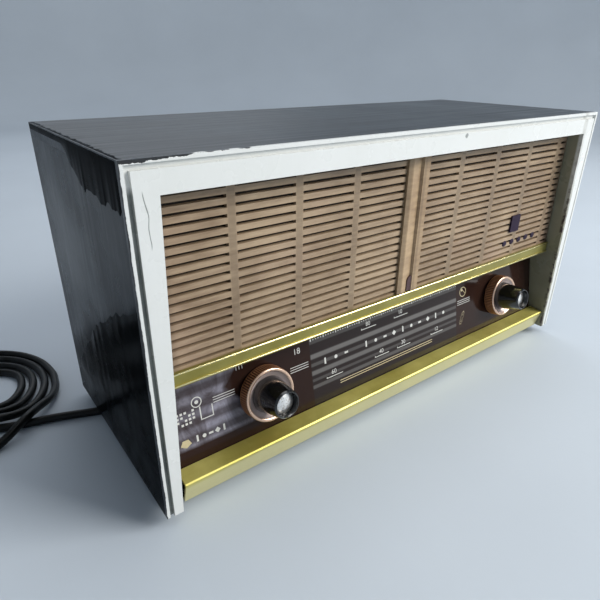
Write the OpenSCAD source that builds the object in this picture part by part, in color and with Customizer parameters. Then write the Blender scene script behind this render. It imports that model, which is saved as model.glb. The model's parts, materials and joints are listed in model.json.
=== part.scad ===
// Mains table radio in a painted wooden cabinet.
// Millimetres, +Z up, front towards -Y, origin on the floor under the middle of the set.

/* [Cabinet] */
// Width of the cabinet
body_w = 400; // [398:1:402]
// Depth of the cabinet boards
body_d = 159; // [158:1:162]
// Height of the cabinet without its feet
body_h = 198; // [197:1:200]
// Thickness of the cabinet boards
board = 8; // [7.5:0.5:8]
// Height of the rubber feet
foot_h = 8; // [7:1:9]

/* [Front surround] */
// How far the front face stands out from the boards
face_out = 2.5; // [2:0.5:4]
// Inset of the front face from the cabinet's edge
face_inset = 4.4; // [4:0.2:5]
// Width of the outer bead
bead_w = 2; // [1.5:0.5:2.5]
// Top edge of the opening above the cabinet's underside
open_top_z = 182; // [180:1:184]
// Half width of the opening at its top
open_top_half = 183.8; // [183:0.2:185]
// Half width of the opening at its bottom
open_low_half = 190.1; // [189:0.1:190.5]

/* [Grille] */
// Distance from slat to slat
slat_pitch = 5.08; // [5:0.02:5.2]
// Height of the gap between two slats
gap_h = 1.9; // [1:0.1:2.4]
// Number of gaps
gaps = 19; // [17:1:19]
// Width of the upright ribs that join the slats
rib_w = 5; // [4:0.2:8]
// Thickness of the grille moulding
grille_t = 3; // [2:0.5:3.5]

/* [Dial and controls] */
// Lean of the dial and its controls back from upright
dial_tilt = 10.5; // [10:0.5:11]
// Height of the control axes at the glass, above the cabinet's underside
axis_z = 44; // [43:0.5:45]
// Place of the left control across the front
left_x = -122; // [-124:1:-120]
// Place of the right control across the front
right_x = 129; // [128:1:130]
// Radius of the knurled rings
ring_r = 18; // [17:0.5:18.5]
// Height of a ring's front rim above the glass
ring_h = 10.2; // [9:0.2:11]
// Height of an inner knob's front above the glass
knob_h = 28; // [26:1:29]
// Radius of an inner knob at its front
knob_r = 8.7; // [8:0.1:9]

/* [Tuning drive] */
// Radius of the cord line on the tuning sleeve
spool_r = 6; // [6:0.1:6.2]
// Radius of the cord line on the drive drum
drum_r = 47.75; // [47:0.25:48]
// Radius of the cord line on the guide pulleys
pulley_r = 5; // [5:0.1:5.2]

/* [Loudspeaker] */
// Radius of the loudspeaker's flange
speaker_r = 49; // [47:0.5:49]
// Place of the loudspeaker across the front
speaker_x = -98; // [-104:1:-94]
// Height of the loudspeaker's middle
speaker_z = 137.5; // [136:0.5:138]

/* [Mains cord] */
// Diameter of the mains cord
cord_d = 6; // [5.5:0.5:6.5]

/* [Hidden] */
$fn = 48;

// Where the dial glass crosses the height of the control axes.
dial_y = 17.4;
cover_t = 3;
screw_head = 1.6;
knob_edge = 0.6;
// The front limit is the lowest edge of a knob's face, the rear limit the cover screws.
front_y = dial_y - knob_h * cos(dial_tilt) - (knob_r - knob_edge) * sin(dial_tilt);
rear_y = body_d + screw_head;
mid_y = (front_y + rear_y) / 2;

inner_w = body_w - 2 * board;
inner_top = body_h - board;
face_half = body_w / 2 - face_inset;
face_top = body_h - face_inset - 0.3;
liner_split = 80;
liner_depth = 14;
cheek_depth = 26;
fit = 0.05;
gap = 0.3;

grille_y = 10;
grille_low = 84.5;
grille_top = 188;
first_gap = 179;
pillar_left = -14;
pillar_right = 7;
left_ribs = [-142.5, -99.5, -56.5];
right_ribs = [43, 86, 129, 172];

glass_t = 2.5;
glass_half = 186.6;
plate_h = -12;
plate_t = 1.5;
run_h = -14.5;
drive_h = -21;
front_plate_h = -28.5;
front_plate_t = 1.5;
bush_r = 4.75;
drive_r = 0.4;
// Depth of a groove's floor below the line of the drive cord.
groove = drive_r + 3 * fit;
drum_x = 60;
drum_v = 18;
pulley_v = 38;
pulley_left_x = -92;
pulley_right_x = 118;
tray_z = 13;
tray_t = 1.5;
board_z = 24;

// Frame of the cabinet: the front edge of the boards at y 0 and their underside at z 0.
module place() {
  translate([0, -mid_y, foot_h]) children();
}

// Frame of the dial: across, up the glass, and out of its front face.
module on_dial(x = 0, v = 0, h = 0) {
  place() translate([0, dial_y, axis_z]) rotate([90 - dial_tilt, 0, 0])
    translate([x, v, h]) children();
}

module at(x, y, z) {
  place() translate([x, y, z]) children();
}

// A box from its low corner to its high corner.
module block(low, high) {
  translate(low) cube(high - low);
}

// A ring or tube standing on its base.
module tube(r_out, r_in, h) {
  difference() {
    cylinder(r = r_out, h = h);
    translate([0, 0, -1]) cylinder(r = r_in, h = h + 2);
  }
}

function open_half(z) = open_low_half + (open_top_half - open_low_half) * z / open_top_z;

// Upright outline of the opening between two heights, drawn in the front plane.
module opening_2d(low, high, spare = 0) {
  a = open_half(low) - spare;
  b = open_half(high) - spare;
  polygon([[-a, low], [a, low], [b, high], [-b, high]]);
}

// Stands a drawing in the front plane up between two depths.
module upright(from_y, to_y) {
  at(0, to_y, 0) rotate([90, 0, 0]) linear_extrude(to_y - from_y) children();
}

// ---- cabinet ----

module cabinet_top() {
  color("#1c1f22") place()
    block([-body_w / 2, 0, inner_top], [body_w / 2, body_d, body_h]);
}

module cabinet_side(side) {
  color("#15181b") place() scale_x(side)
    block([inner_w / 2, 0, 0], [body_w / 2, body_d, inner_top]);
}

// Mirrors a piece to the left for side -1.
module scale_x(side) {
  if (side < 0) mirror([1, 0, 0]) children();
  else children();
}

module cabinet_left_side() {
  cabinet_side(-1);
}

module cabinet_right_side() {
  cabinet_side(1);
}

chassis_bolt_at = [[-140, 60], [-140, 125], [145, 60], [145, 125]];
foot_at = [[-165, 30], [165, 30], [-165, 138], [165, 138]];

module cabinet_bottom() {
  color("#15181b") difference() {
    union() {
      place() block([-inner_w / 2, cheek_depth + gap, 0], [inner_w / 2, body_d, board]);
      place() block([-189.4, 6, 1.5], [189.4, cheek_depth + 1, board]);
    }
    for (p = chassis_bolt_at) {
      at(p[0], p[1], -1) cylinder(r = 2.2, h = board + 2);
      at(p[0], p[1], -1) cylinder(r = 4.5, h = 4);
    }
    for (x = [-60:20:60]) place() block([x - 4, 70, -1], [x + 4, 110, board + 1]);
  }
}

batten_w = 12;
cover_screw_z = [30, 98, 168];
cover_screw_x = inner_w / 2 - batten_w / 2 - gap;

module rear_battens() {
  color("burlywood") for (side = [-1, 1]) difference() {
    place() scale_x(side)
      block([inner_w / 2 - batten_w, 141, board], [inner_w / 2, 155.7, inner_top]);
    for (z = cover_screw_z) at(side * cover_screw_x, 157, z) rotate([90, 0, 0])
      cylinder(r = 1.5, h = 13, $fn = 24);
  }
}

module surround_outline(half, top) {
  polygon([[-half, 0], [half, 0], [half, top], [-half, top]]);
}

module front_surround() {
  color("gainsboro") difference() {
    union() {
      upright(-face_out, 0) surround_outline(face_half, face_top);
      upright(-0.4, 0) surround_outline(body_w / 2, body_h);
      upright(-face_out + 0.3, 0) difference() {
        surround_outline(body_w / 2, body_h);
        translate([0, -1]) square([body_w - 2 * bead_w, 2 * (body_h - bead_w) + 2], center = true);
      }
      upright(0, liner_depth) intersection() {
        surround_outline(inner_w / 2 - 0.1, inner_top - 0.1);
        translate([-body_w / 2, board + 0.3]) square([body_w, body_h]);
      }
      upright(0, cheek_depth) translate([-inner_w / 2 + 0.1, 0])
        square([inner_w - 0.2, liner_split]);
    }
    upright(-5, 30) opening_2d(-1, open_top_z);
    upright(grille_y - 0.2, 30) opening_2d(grille_low - 1, inner_top - 1.5, -0.3);
  }
}

// ---- grille and loudspeaker board ----

baffle_y = liner_depth + 0.3;
baffle_t = 6;

module speaker_baffle() {
  color("#2a2420") difference() {
    place() block([-inner_w / 2 + 0.3, baffle_y, grille_low + 0.3],
                  [inner_w / 2 - 0.3, baffle_y + baffle_t, inner_top - 0.3]);
    at(speaker_x, 40, speaker_z) rotate([90, 0, 0]) cylinder(r = 43, h = 40);
    at(100, 40, speaker_z) rotate([90, 0, 0]) cylinder(r = 30, h = 40);
  }
}

module speaker_cloth() {
  color("#241a14") upright(grille_y + grille_t + 0.2, liner_depth)
    opening_2d(grille_low + 2, grille_top - 1, 1);
}

// One panel of the grille between two places across the front.
module grille_panel(from_x, to_x, ribs) {
  upright(grille_y, grille_y + grille_t) difference() {
    intersection() {
      opening_2d(grille_low, grille_top, 0.4);
      translate([from_x, 0]) square([to_x - from_x, body_h]);
    }
    slots(concat([from_x - rib_w / 2], ribs, [to_x + rib_w / 2]));
  }
}

// Slots between neighbouring ribs, one row for each gap.
module slots(ribs) {
  for (row = [0:gaps - 1]) {
    z = first_gap - row * slat_pitch;
    edge = open_half(z) - 1.6;
    for (i = [0:len(ribs) - 2]) {
      a = max(ribs[i] + rib_w / 2, -edge);
      b = min(ribs[i + 1] - rib_w / 2, edge);
      translate([a, z - gap_h / 2]) square([b - a, gap_h]);
    }
  }
}

module grille_left() {
  color("#a5917a") grille_panel(-200, pillar_left - 0.05, left_ribs);
}

module grille_right() {
  color("#a5917a") grille_panel(pillar_right + 0.05, 200, right_ribs);
}

// Pillar with a raised left edge, a shallow trough and a bead along its right edge.
module grille_pillar() {
  color("#b39d83") upright(grille_y, grille_y + grille_t)
    translate([pillar_left, grille_low]) square([pillar_right - pillar_left, grille_top - grille_low]);
  color("#b39d83") at(0, 0, strip_high + gap) linear_extrude(open_top_z - strip_high - 2 * gap)
    polygon([[pillar_left, 10], [pillar_left, 8.4], [pillar_left + 3.5, 7.4], [pillar_left + 12.5, 9.2],
             [pillar_left + 13.5, 7.4], [pillar_right - 1.5, 7.4], [pillar_right, 8.6], [pillar_right, 10]]);
}

module grille_badge() {
  color("#2c2233") upright(grille_y - 1.4, grille_y)
    translate([119.5, 106]) square([12, 14]);
}

// ---- gold trims ----

strip_low = 76;
strip_high = 85;

module divider_strip() {
  color("#bdb04e") {
    upright(8.2, 9.6) opening_2d(strip_low, strip_high, 0.8);
    upright(7.4, 9.6) opening_2d(strip_high - 1.2, strip_high, 0.8);
    upright(7.4, 21.5) opening_2d(strip_low, strip_low + 1.2, 0.8);
  }
}

shelf_left = -186.4;
shelf_right = 188.8;

// Folded trim: a shelf that falls a little to the front, and a lip that leans back below it.
module shelf_trim() {
  color("#b8ab4c") place() rotate([90, 0, 90]) translate([0, 0, shelf_left])
    linear_extrude(shelf_right - shelf_left)
      polygon([[11.6, 17.2], [11.6, 16], [1.2, 14.6], [4.9, 1.2], [24, 1.2], [24, 0],
               [3.7, 0], [-0.4, 15.2], [0.4, 15.9]]);
}

// ---- dial ----

module dial_glass() {
  color("#33231d") difference() {
    on_dial(-glass_half, -30, -glass_t) cube([2 * glass_half, 64, glass_t]);
    for (x = [left_x, right_x]) on_dial(x, 0, -5) cylinder(r = 8, h = 10);
  }
}

// Steel plate behind the glass, with two riveted pins that the pulleys turn on.
module dial_backplate() {
  color("#3a3d40") difference() {
    union() {
      on_dial(-148, -28, plate_h) cube([301, 62, plate_t]);
      for (x = [pulley_left_x, pulley_right_x])
        on_dial(x - 6, 30, plate_h) cube([12, 13, plate_t]);
    }
    on_dial(left_x, 0, plate_h - 1) cylinder(r = 9, h = 4);
    on_dial(right_x, 0, plate_h - 1) cylinder(r = 9, h = 4);
  }
  color("silver") for (x = [pulley_left_x, pulley_right_x]) {
    on_dial(x, pulley_v, run_h - 2.6) cylinder(r = 1.5, h = -run_h + 2.6 + plate_h);
    on_dial(x, pulley_v, run_h - 2.8) cylinder(r = 2.6, h = 0.8);
  }
}

module glass_cushions() {
  color("#4a4a4a") for (x = [-149.5, 148])
    on_dial(x, -24, plate_h + plate_t) cube([5, 50, -plate_h - plate_t - glass_t]);
}

// Two bulbs that light the edge of the glass, each on its own small holder.
module dial_lamps() {
  color("#e8dfc0") for (x = [-104, 106]) {
    on_dial(x - 4, 24, plate_h + plate_t) cube([8, 8, 3]);
    on_dial(x, 28, plate_h + plate_t + 3) cylinder(r = 2.6, h = 3, $fn = 32);
  }
}

module pointer() {
  color("#d8b24a") difference() {
    union() {
      on_dial(-5.2, -22, -7.6) cube([1.2, 56, 0.8]);
      on_dial(-8, 32.4, -13.4) cube([6.8, 5, 6.6]);
      on_dial(-7, 35, run_h - 2.1) cube([4.8, 10.4, 4.2]);
    }
    on_dial(-9, 30, plate_h - 0.35) cube([9, 4.4, plate_t + 0.7]);
    on_dial(-9, pulley_v + pulley_r, run_h) rotate([0, 90, 0]) cylinder(r = 1, h = 10, $fn = 24);
  }
}

// ---- controls ----

// Outer ring with a sloping dish inside its rim, bored for its shaft.
module ring_knob(x, bore) {
  on_dial(x, 0, 0) rotate_extrude($fn = 96)
    polygon([[bore, 1.5], [ring_r - 0.8, 1.5], [ring_r, 2.2], [ring_r - 0.2, ring_h - 0.4],
             [ring_r - 0.7, ring_h], [ring_r - 2.4, ring_h], [ring_r - 3.2, ring_h - 1.6],
             [11.6, 6.6], [bore, 6.6]]);
}

// Inner knob: a slightly tapered black barrel, hollowed at the front for its insert.
module inner_knob(x, bore) {
  on_dial(x, 0, 0) rotate_extrude($fn = 96)
    polygon([[bore, 7.3], [11.7, 7.3], [12.2, 8], [knob_r + 0.2, knob_h - 1],
             [knob_r - knob_edge, knob_h], [knob_r - 1, knob_h], [knob_r - 1.1, 22.5], [bore, 22.5]]);
}

// Shallow silver dome in the front of a knob.
module knob_insert(x) {
  on_dial(x, 0, 22.6) rotate_extrude($fn = 96)
    polygon([[0, 0], [7.4, 0], [7.4, 0.8], [6, 1.7], [4, 2.3], [2, 2.6], [0, 2.7]]);
}

tone_shaft_r = 4;
volume_shaft_r = 2.5;
band_shaft_r = 3;
sleeve_r = 6.2;

module tone_ring() {
  color("#96643c") ring_knob(left_x, tone_shaft_r + fit);
}

module tone_shaft() {
  color("silver") {
    on_dial(left_x, 0, -36) tube(tone_shaft_r, volume_shaft_r + fit, 42.4);
    on_dial(left_x, 0, -33) tube(10, tone_shaft_r - 0.5, 1);
  }
}

module volume_knob() {
  color("#101010") inner_knob(left_x, volume_shaft_r + fit);
}

module volume_knob_insert() {
  color("silver") knob_insert(left_x);
}

module volume_shaft() {
  color("silver") {
    on_dial(left_x, 0, -48) cylinder(r = volume_shaft_r, h = 70);
    on_dial(left_x, 0, -44) cylinder(r = 10, h = 1);
  }
}

// Closed can of the double control, with its threaded bush in front.
module dual_potentiometer() {
  color("#8a8f94") {
    on_dial(left_x, 0, -52) difference() {
      cylinder(r = 14, h = 23.5);
      translate([0, 0, 1.5]) cylinder(r = 12.5, h = 10.5);
      translate([0, 0, 13.5]) cylinder(r = 12.5, h = 8.5);
      translate([0, 0, 10]) cylinder(r = tone_shaft_r + fit, h = 20);
    }
    on_dial(left_x, 0, -30) tube(bush_r, tone_shaft_r + fit, 17);
  }
}

module control_nuts() {
  color("silver") for (x = [left_x, right_x])
    on_dial(x, 0, front_plate_h + front_plate_t) difference() {
      cylinder(r = 7.4, h = 2.4, $fn = 6);
      translate([0, 0, -1]) cylinder(r = bush_r + fit, h = 5);
    }
}

module tuning_ring() {
  color("#96643c") ring_knob(right_x, sleeve_r + fit);
}

// Sleeve that turns on the switch bush, with the cord spool behind it.
module tuning_sleeve() {
  color("silver") on_dial(right_x, 0, 0) rotate_extrude()
    polygon([[bush_r + fit, -24.2], [8.4, -24.2], [8.4, -23.4], [spool_r - groove, -22.6],
             [spool_r - groove, -19.4], [8.4, -18.6], [8.4, -17.8], [sleeve_r, -17.8],
             [sleeve_r, 6.4], [bush_r + fit, 6.4]]);
}

module band_knob() {
  color("#101010") inner_knob(right_x, band_shaft_r + fit);
}

module band_knob_insert() {
  color("silver") knob_insert(right_x);
}

module band_shaft() {
  color("silver") {
    on_dial(right_x, 0, -48) cylinder(r = band_shaft_r, h = 70);
    on_dial(right_x, 0, -42) cylinder(r = 9, h = 1.5);
  }
}

module band_switch() {
  color("#8c6a3a") {
    on_dial(right_x, 0, -52) difference() {
      cylinder(r = 15, h = 23.5);
      translate([0, 0, 1.5]) cylinder(r = 13.5, h = 20.5);
      translate([0, 0, 10]) cylinder(r = band_shaft_r + fit, h = 20);
    }
    on_dial(right_x, 0, -30) tube(bush_r, band_shaft_r + fit, 33);
  }
}

// ---- tuning drive ----

module drive_drum() {
  color("#d9d2bf") on_dial(drum_x, drum_v, drive_h) difference() {
    rotate_extrude($fn = 96)
      polygon([[band_shaft_r + fit, -4.5], [7, -4.5], [7, -1], [drum_r - 3, -1], [drum_r - 3, -2.4],
               [drum_r + 1.6, -2.4], [drum_r - groove, -1], [drum_r - groove, 1], [drum_r + 1.6, 2.4],
               [drum_r - 3, 2.4], [drum_r - 3, 1], [7, 1], [7, 2.4], [band_shaft_r + fit, 2.4]]);
    for (a = [30:120:270]) rotate(a) translate([26, 0, -5]) cylinder(r = 11, h = 10);
  }
}

vane_pitch = 4.4;
vane_t = 0.8;
first_vane_h = -64;

// Rotor shaft with its half-round vanes, half in mesh at rest.
module tuner_rotor() {
  color("#b9bcc0") {
    on_dial(drum_x, drum_v, -72) cylinder(r = band_shaft_r, h = 53.4);
    for (i = [0:6]) on_dial(drum_x, drum_v, first_vane_h + i * vane_pitch) difference() {
      cylinder(r = 15, h = vane_t, $fn = 64);
      translate([-20, -20, -1]) cube([20, 40, 4]);
    }
  }
}

// Open frame of the tuning capacitor with the fixed vanes hung from its sides.
module tuner_frame() {
  color("#9aa0a6") difference() {
    union() {
      on_dial(drum_x - 20, drum_v - 20, -30) cube([40, 40, 1.5]);
      on_dial(drum_x - 20, drum_v - 20, -70.5) cube([40, 40, 1.5]);
      on_dial(drum_x - 20, drum_v - 20, -70) cube([40, 1.5, 41]);
      on_dial(drum_x - 20, drum_v + 18.5, -70) cube([40, 1.5, 41]);
    }
    on_dial(drum_x, drum_v, -75) cylinder(r = band_shaft_r + fit, h = 50);
  }
  color("#c8c8c8") for (i = [0:7])
    on_dial(drum_x, drum_v, first_vane_h + vane_pitch * (i - 0.5)) difference() {
      translate([-17, 0, 0]) cube([34, 19, vane_t]);
      translate([0, 0, -1]) cylinder(r = 4.6, h = 3);
    }
}

module guide_pulley(x) {
  on_dial(x, pulley_v, run_h) rotate_extrude($fn = 64)
    polygon([[1.55, -1.6], [pulley_r + 1.6, -1.6], [pulley_r - groove, -0.6], [pulley_r - groove, 0.6],
             [pulley_r + 1.6, 1.6], [1.55, 1.6]]);
}

module pulley_left() {
  color("#c9a55a") guide_pulley(pulley_left_x);
}

module pulley_right() {
  color("#c9a55a") guide_pulley(pulley_right_x);
}

// Centres and directions of the drive cord's wraps, in the plane of the dial.
function on_circle(c, r, a, h) = [c[0] + r * cos(a), c[1] + r * sin(a), h];
function arc(c, r, from, to, n, h0, h1) =
  [for (i = [0:n]) on_circle(c, r, from + (to - from) * i / n, h0 + (h1 - h0) * i / n)];

spool_c = [right_x, 0];
drum_c = [drum_x, drum_v];
left_c = [pulley_left_x, pulley_v];
right_c = [pulley_right_x, pulley_v];

// Angle at which an outside tangent leaves a wheel, for a cord that runs clockwise.
function leave(c1, r1, c2, r2) =
  atan2(c2[1] - c1[1], c2[0] - c1[0]) + acos((r1 - r2) / norm(c2 - c1));

spool_in = leave(right_c, pulley_r, spool_c, spool_r);
spool_out = leave(spool_c, spool_r, drum_c, drum_r);
drum_out = leave(drum_c, drum_r, left_c, pulley_r);
left_out = leave(left_c, pulley_r, right_c, pulley_r);

// From the left pulley over the top, round the spool and the drum, and back to its start.
drive_loop = concat(
  arc(left_c, pulley_r, drum_out, left_out, 14, run_h, run_h),
  arc(right_c, pulley_r, left_out, spool_in, 8, run_h, run_h),
  arc(spool_c, spool_r, spool_in, spool_out - 720, 44, drive_h + 0.7, drive_h - 0.7),
  arc(drum_c, drum_r, spool_out - 360, drum_out - 720, 80, drive_h - 0.6, drive_h + 0.6)
);
drive_last = drive_loop[len(drive_loop) - 1];
drive_line = concat(drive_loop, [drive_last + 0.99 * (drive_loop[0] - drive_last)]);

// A round tube of n sides swept along a line of points. It may close on itself.
function unit(a) = a / norm(a);
function along(p, i) = unit(p[min(i + 1, len(p) - 1)] - p[max(i - 1, 0)]);
function side_of(d) = unit(abs(d[2]) > 0.95 ? cross(d, [0, 1, 0]) : cross(d, [0, 0, 1]));
module sweep(p, r, n) {
  rings = len(p);
  points = [for (i = [0:rings - 1]) let (d = along(p, i), u = side_of(d), w = cross(u, d))
            for (k = [0:n - 1]) p[i] + r * (cos(360 * k / n) * u + sin(360 * k / n) * w)];
  sides = [for (i = [0:rings - 2]) for (k = [0:n - 1])
           let (a = i * n + k, b = i * n + (k + 1) % n) [a, b, b + n, a + n]];
  polyhedron(points, concat([[for (k = [0:n - 1]) n - 1 - k]], sides,
                            [[for (k = [0:n - 1]) (rings - 1) * n + k]]), convexity = 10);
}

module drive_cord() {
  color("#3b3a34") on_dial() sweep(drive_line, drive_r, 6);
}

// ---- chassis ----

module chassis() {
  color("#a9adb0") difference() {
    union() {
      on_dial(-148, -29, front_plate_h) cube([301, 69, front_plate_t]);
      place() block([-148, 40, tray_z], [153, 135, tray_z + tray_t]);
      for (x = [-146, 151]) for (v = [-18, 26])
        on_dial(x, v, front_plate_h) cylinder(r = 1.9, h = plate_h - front_plate_h);
      for (p = chassis_bolt_at) at(p[0], p[1], board) cylinder(r = 5, h = tray_z - board);
      for (x = [-135, 15]) for (y = [82, 130])
        at(x, y, tray_z) cylinder(r = 3, h = board_z - tray_z);
    }
    on_dial(left_x, 0, front_plate_h - 1) cylinder(r = bush_r + fit, h = 4);
    on_dial(right_x, 0, front_plate_h - 1) cylinder(r = bush_r + fit, h = 4);
    on_dial(drum_x, drum_v, front_plate_h - 1) cylinder(r = 8, h = 4);
    for (p = chassis_bolt_at) at(p[0], p[1], 0) cylinder(r = 2 + fit, h = 30);
  }
}

module chassis_bolts() {
  color("silver") for (p = chassis_bolt_at) {
    at(p[0], p[1], 1) cylinder(r = 4, h = 2);
    at(p[0], p[1], 1) cylinder(r = 2, h = 17);
  }
}

module circuit_board() {
  color("#8a5a2b") place() block([-142, 76, board_z], [22, 136, board_z + 1.6]);
}

board_top = board_z + 1.6;

module filter_cans() {
  color("#c9ccd0") for (x = [-20, -50, -80, -110]) place()
    block([x - 6, 82, board_top], [x + 6, 94, board_top + 16]);
}

module electrolytic_capacitors() {
  color("#3f6ea5") {
    at(-128, 122, board_top) cylinder(r = 8, h = 30);
    at(-106, 122, board_top) cylinder(r = 8, h = 30);
    at(-88, 124, board_top) cylinder(r = 5, h = 16);
    at(2, 124, board_top) cylinder(r = 5, h = 16);
  }
}

rod_y = 112;
rod_z = 172;

module ferrite_rod() {
  color("#3a3a3c") at(-90, rod_y, rod_z) rotate([0, 90, 0]) cylinder(r = 5, h = 180);
}

module aerial_coils() {
  color("#b5772e") for (x = [-60, 50]) at(x, rod_y, rod_z) rotate([0, 90, 0])
    tube(6.5, 5 + fit, 18);
}

module rod_holders() {
  color("#efe9d8") for (x = [-80, 74]) difference() {
    place() block([x - 4, rod_y - 8, rod_z - 8], [x + 4, rod_y + 8, inner_top]);
    at(x - 5, rod_y, rod_z) rotate([0, 90, 0]) cylinder(r = 5 + fit, h = 10);
  }
}

// ---- loudspeaker ----

speaker_y = baffle_y + baffle_t;

module speaker_turn() {
  at(speaker_x, speaker_y, speaker_z) rotate([-90, 0, 0]) rotate_extrude($fn = 96) children();
}

module speaker_basket() {
  color("#5b6066") speaker_turn()
    polygon([[44, 0], [speaker_r, 0], [speaker_r, 1.5], [45.5, 1.5], [26, 26], [14, 26], [14, 24.8],
             [25.2, 24.8], [44, 1.5]]);
}

module speaker_cone() {
  color("#3b3028") speaker_turn()
    polygon([[0, 14], [6, 14.8], [11.4, 18.6], [40, 1], [43.9, 0.4], [43.9, 1], [40.4, 1.8],
             [12, 20], [12, 24.4], [11.4, 24.4], [11.4, 19.4], [5.8, 15.6], [0, 14.7]]);
}

module speaker_magnet() {
  color("#6d6f72") speaker_turn()
    polygon([[0, 26.1], [24, 26.1], [24, 42], [22, 43], [0, 43]]);
}

// ---- mains transformer ----

core_low = [98, 86, 14.6];
core_high = [146, 120, 58];

module transformer_core() {
  color("#4d4a46") difference() {
    place() block(core_low, core_high);
    for (x = [106, 130]) place() block([x, 80, 26], [x + 8, 130, 47]);
  }
}

module transformer_winding() {
  color("#c7b58a") difference() {
    place() block([106.4, 79, 26.4], [137.6, 127, 46.6]);
    place() block([113.7, 85.7, 20], [130.3, 120.3, 60]);
  }
}

// ---- back ----

cover_y = body_d - cover_t;
socket_x = [129, 149];
socket_z = 34;
gland_x = -130;
gland_z = 24;

module rear_cover() {
  color("#5d4630") difference() {
    place() block([-inner_w / 2 + gap, cover_y, board + gap],
                  [inner_w / 2 - gap, body_d, inner_top - gap]);
    for (x = [-150:20:-30]) for (z = [70:14:168]) vent_slot(x, z);
    for (x = [30:20:150]) for (z = [70:14:168]) vent_slot(x, z);
    for (x = socket_x) at(x, body_d + 1, socket_z) rotate([90, 0, 0]) cylinder(r = 3.8, h = 8);
    at(gland_x, body_d + 1, gland_z) rotate([90, 0, 0]) cylinder(r = 5 + fit, h = 8);
    for (side = [-1, 1]) for (z = cover_screw_z)
      at(side * cover_screw_x, body_d + 1, z) rotate([90, 0, 0]) cylinder(r = 1.5, h = 8, $fn = 24);
  }
}

// Aerial and earth sockets: two tubes on one plate that is fixed outside the cover.
module aerial_sockets() {
  color("#6b5136") difference() {
    union() {
      place() block([120, body_d, socket_z - 8], [158, rear_y, socket_z + 8]);
      for (x = socket_x) at(x, rear_y, socket_z) rotate([90, 0, 0]) cylinder(r = 3.4, h = 14);
    }
    for (x = socket_x) at(x, rear_y + 1, socket_z) rotate([90, 0, 0]) cylinder(r = 2, h = 20);
  }
}

module vent_slot(x, z) {
  place() block([x - 7, cover_y - 1, z - 2.2], [x + 7, body_d + 1, z + 2.2]);
}

module rear_cover_screws() {
  color("silver") for (side = [-1, 1]) for (z = cover_screw_z)
    at(side * cover_screw_x, body_d + screw_head, z) rotate([90, 0, 0]) {
      cylinder(r = 3.4, h = screw_head);
      cylinder(r = 1.45, h = 14, $fn = 24);
    }
}

module feet() {
  color("#202020") for (p = foot_at) at(p[0], p[1], -foot_h) rotate_extrude()
    polygon([[0, 0], [8.2, 0], [9, 1], [9.6, foot_h], [0, foot_h]]);
}

// ---- mains cord ----

cord_r = cord_d / 2;
// Route on the floor from the gland, in by the rear left corner and out at the left side.
cord_route = [
  [-130, 104, 32], [-130, 112, 31.6], [-130, 121, 29.5], [-129.5, 130, 25], [-128, 138, 18.5],
  [-125, 145, 11.5], [-120, 150.5, 6.2], [-112, 154.5, 3.6], [-102, 155, 3], [-92, 151.5, 3],
  [-84.5, 145, 3], [-79.5, 136, 3], [-77.5, 125, 3], [-78.5, 113, 3], [-82, 101, 3], [-87, 89, 3],
  [-94, 77, 3], [-103, 65, 3], [-114, 55, 3], [-127, 47.5, 3], [-141, 43.5, 3], [-156, 42.5, 3],
  [-171, 44, 3], [-186, 47.5, 3], [-201, 52.5, 3], [-216, 58.5, 3], [-230, 63.5, 3],
  [-243, 67, 3], [-256, 71, 3]
];
// Route from the outer turn over the first stretch and down to the plug.
tail_route = [
  [-235, 75.5, 8], [-241, 68.5, 9.6], [-246, 63.8, 9.6], [-252, 59.8, 8], [-259, 56, 5.5],
  [-266, 53, 3.6], [-275, 50, 3], [-284, 47.4, 4.6], [-292, 46, 7], [-300, 46, 7]
];
coil_c = [-286, 134];
coil_r_out = 79;
coil_r_in = 30;
coil_h = 13;

module cord_gland() {
  color("#141414") difference() {
    at(gland_x, cover_y - 1.5, gland_z) rotate([-90, 0, 0]) rotate_extrude()
      polygon([[0, 0], [6.4, 0], [6.4, 1.4], [5, 1.5], [5, 4.6], [7.4, 4.7], [7.4, 6.4],
               [5.2, 8], [3.7, 26], [0, 26]]);
    at(gland_x, cover_y - 2, gland_z) rotate([-90, 0, 0]) cylinder(r = cord_r + fit, h = 30);
  }
}

module mains_cord_run() {
  color("#161616") sweep(cord_route, cord_r, 10);
}

// Outer shape of the loosely wound turns.
module mains_cord_coil() {
  color("#161616") translate([coil_c[0], coil_c[1], 0]) rotate_extrude($fn = 72)
    polygon([[coil_r_in + 3, 0], [coil_r_out - 3, 0], [coil_r_out, 3], [coil_r_out, coil_h - 4],
             [coil_r_out - 4, coil_h], [coil_r_in + 4, coil_h], [coil_r_in, coil_h - 4],
             [coil_r_in, 3]]);
}

module mains_cord_tail() {
  color("#161616") sweep(tail_route, cord_r, 10);
}

// Two-pin plug lying flat beside the coil.
plug_at = [-321, 46, 0];

module mains_plug() {
  color("#1a1a1a") translate(plug_at) {
    difference() {
      union() {
        translate([-18, 0, 7]) rotate([0, 90, 0]) rotate_extrude()
          polygon([[0, 0], [7, 0], [7, 22], [5.6, 27], [4, 40], [0, 40]]);
        block([-18, -13, 0], [0, 13, 14]);
      }
      block([-19, -14, -5], [30, 14, 0]);
    }
    for (s = [-1, 1]) translate([-37, s * 9.5, 7]) rotate([0, 90, 0])
      cylinder(r = 2, h = 19.5, $fn = 32);
  }
}

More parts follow.
